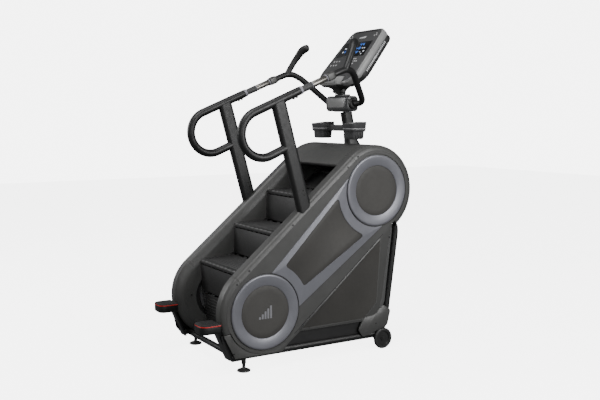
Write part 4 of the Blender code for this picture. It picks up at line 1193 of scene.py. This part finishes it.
def make_grip(side, name):
    """From the post forwards: sleeve, pulse contact and the boxy pod with its button."""
    sleeve = ((0.0170, 0.98), (0.0180, 1.0), (0.0850, 1.06), (0.0870, 1.04))
    piece(f"grip_sleeve_{name}", along_rail(side, sleeve, circle(0.0195, 40)), GRIP,
          stands_for=f"grip_{name}", sharp=50)
    collar(side, 0.0003, 0.017, 0.0238, f"rail_collar_{name}")
    collar(side, 0.0872, 0.0915, 0.0218, f"contact_ring_{name}", edge=0.0010)
    piece(f"pulse_contact_{name}", along_rail(side, ((0.0915, 1), (0.1940, 1)), circle(0.0192, 40)), CONTACT,
          bevel=0.0006)
    collar(side, 0.1938, 0.1998, 0.0222, f"pod_ring_{name}", edge=0.0010)
    section = rounded_outline([(a * 0.022, b * 0.024, 0.011)
                               for a, b in ((1, 1), (-1, 1), (-1, -1), (1, -1))], 6)
    stations = ((0.2003, 0.80), (0.2025, 0.90), (0.2065, 0.97), (0.212, 1.0), (0.243, 1.0), (0.249, 0.97),
                (0.2535, 0.90), (0.2560, 0.80))
    pod = combine(along_rail(side, stations, section), (CUT, pod_round(side, 0.0092, 0.018, 0.06)))
    piece(f"pod_body_{name}", pod, POD, stands_for=f"control_pod_{name}", sharp=35)
    piece(f"pod_key_{name}", pod_round(side, 0.0086, 0.0203, 0.0262), DARK, f"pod_button_{name}",
          stands_for=f"pod_button_{name}", sharp=50, bevel=0.0008)


def pod_round(side, radius, low, high):
    return swept([rail_point(0.227, side, out) for out in (low, high)], circle(radius, 32))


def make_front_bar(side, name):
    """The bar from the pod down to the hub, with the horn that rises from its bend."""
    path = [rail_point(0.2565, side), rail_point(0.290, side)]
    inward = [(0.343, 0.222, 1.7130), (0.3405, 0.250, 1.7200), (0.331, 0.285, 1.719), (0.318, 0.317, 1.704),
              (0.300, 0.343, 1.683), (0.254, 0.404, 1.619), (0.218, 0.452, 1.567), (0.200, 0.470, 1.546),
              (0.178, 0.474, 1.531), (0.155, 0.465, 1.526), (0.118, 0.455, 1.526)]
    path += smooth([(side * x, y, z) for x, y, z in inward], 8)
    horn = [(0.3415, 0.247, 1.719, 1.0), (0.338, 0.265, 1.753, 1.0), (0.332, 0.280, 1.780, 1.0),
            (0.326, 0.296, 1.808, 1.04), (0.315, 0.315, 1.839, 1.14), (0.302, 0.331, 1.867, 1.28),
            (0.289, 0.345, 1.883, 1.34), (0.275, 0.358, 1.892, 1.26), (0.2665, 0.3655, 1.8955, 0.98),
            (0.2630, 0.3690, 1.8965, 0.60)]
    horn = smooth([(side * x, y, z, k) for x, y, z, k in horn], 6)
    end_block = prism(arc(HUB, 0.06, 0, 345, 23), 0.080, HUB_HALF + 0.018 + FIT, side)
    bar = combine(swept(path, circle(BAR_R, 32)), (CUT, end_block), (ADD, swept(horn, circle(BAR_R, 32))))
    piece(f"bar_and_horn_{name}", bar, FRAME_PAINT, stands_for=f"front_bar_{name}", sharp=40)


# ---------------------------------------------------------------- inside


def make_inside():
    """The hidden pieces keep the solids' own shapes and only take these materials."""
    # The side plates take the dark plastic as painted shade: they show through the housing's opening, which
    # lies in shade inside.
    looks = {"side_plate_left": DARK, "side_plate_right": DARK, "step_chain_left": METAL,
             "step_chain_right": METAL, "lower_shaft": METAL, "upper_shaft": METAL, "flywheel": METAL,
             "alternator": METAL, "drive_belt": RUBBER}
    for node, material in looks.items():
        shown = frame["nodes"][node]
        shown.data.materials.clear()
        shown.data.materials.append(material)


# ---------------------------------------------------------------- studio


def make_floor():
    floor_mesh = bmesh.new()
    bmesh.ops.create_grid(floor_mesh, x_segments=1, y_segments=1, size=14)
    floor = bare(floor_mesh, "studio_floor")
    material, nodes, links, shader = new_material("studio_floor")
    shader.inputs["Roughness"].default_value = 0.9
    shader.inputs["Specular IOR Level"].default_value = 0.1
    shader.inputs["Emission Color"].default_value = (1, 1, 1, 1)
    shader.inputs["Emission Strength"].default_value = 5.0
    tone = colour_mix(nodes, links, noise(nodes, links, 2.0), (0.86, 0.86, 0.86), (0.89, 0.89, 0.89))
    links.new(tone, shader.inputs["Base Color"])
    floor.data.materials.append(material)
    floor.visible_diffuse = floor.visible_glossy = False      # the lamps alone light the machine


def make_sky():
    """A bright backdrop for the eye, and a faint even light for the machine."""
    world = bpy.data.worlds.new("studio")
    bpy.context.scene.world = world
    world.use_nodes = True
    nodes, links = world.node_tree.nodes, world.node_tree.links
    seen, ambient = nodes["Background"], nodes.new("ShaderNodeBackground")
    for background, colour, strength in ((seen, (1, 1, 1, 1), 6.0), (ambient, (0.96, 0.98, 1.0, 1), 0.16)):
        background.inputs["Color"].default_value = colour
        background.inputs["Strength"].default_value = strength
    path, blend = nodes.new("ShaderNodeLightPath"), nodes.new("ShaderNodeMixShader")
    links.new(path.outputs["Is Camera Ray"], blend.inputs[0])
    links.new(ambient.outputs[0], blend.inputs[1])
    links.new(seen.outputs[0], blend.inputs[2])
    links.new(blend.outputs[0], nodes["World Output"].inputs["Surface"])


def make_lights():
    # name, place, height aimed at, size and power
    lights = (("overhead", (1.2, -1.4, 4.8), 1.0, 3.0, 120),
              ("user_side", (-3.0, -4.0, 2.8), 1.1, 2.4, 120),
              ("front_side", (5.2, 1.8, 2.6), 0.9, 3.2, 230),
              ("camera_side", (5.4, -3.0, 2.2), 0.9, 2.4, 45),
              ("left", (-4.6, -0.8, 2.6), 1.0, 2.0, 8))
    for name, place, aim_height, size, power in lights:
        light = bpy.data.lights.new(name, "AREA")
        light.shape = "DISK"
        light.size = size
        light.energy = power
        lamp = bpy.data.objects.new(name, light)
        lamp.location = place
        lamp.rotation_euler = (Vector((0, 0, aim_height)) - Vector(place)).to_track_quat("-Z", "Y").to_euler()
        bpy.context.scene.collection.objects.link(lamp)


def make_camera():
    azimuth, elevation = math.radians(58.78), math.radians(5.825)
    back = Vector((math.sin(azimuth) * math.cos(elevation), -math.cos(azimuth) * math.cos(elevation),
                   math.sin(elevation)))
    data = bpy.data.cameras.new("camera")
    data.sensor_width, data.lens = 36.0, 49.52
    data.clip_start, data.clip_end = 0.1, 60.0
    camera = bpy.data.objects.new("camera", data)
    camera.location = (4.4226, -2.54 + SHIFT, 1.449)
    camera.rotation_mode = "QUATERNION"
    camera.rotation_quaternion = (-back).to_track_quat("-Z", "Y")
    bpy.context.scene.collection.objects.link(camera)
    bpy.context.scene.camera = camera


make_steps()
for side, name in SIDES:
    make_housing(side, name)
    make_wheel(side, name)
    make_foot(side, name)
    make_footrest(side, name)
    make_handrail(side, name)
make_frame()
make_covers()
make_mast()
make_cup_holder()
make_console()
make_inside()
make_floor()
make_sky()
make_lights()
make_camera()
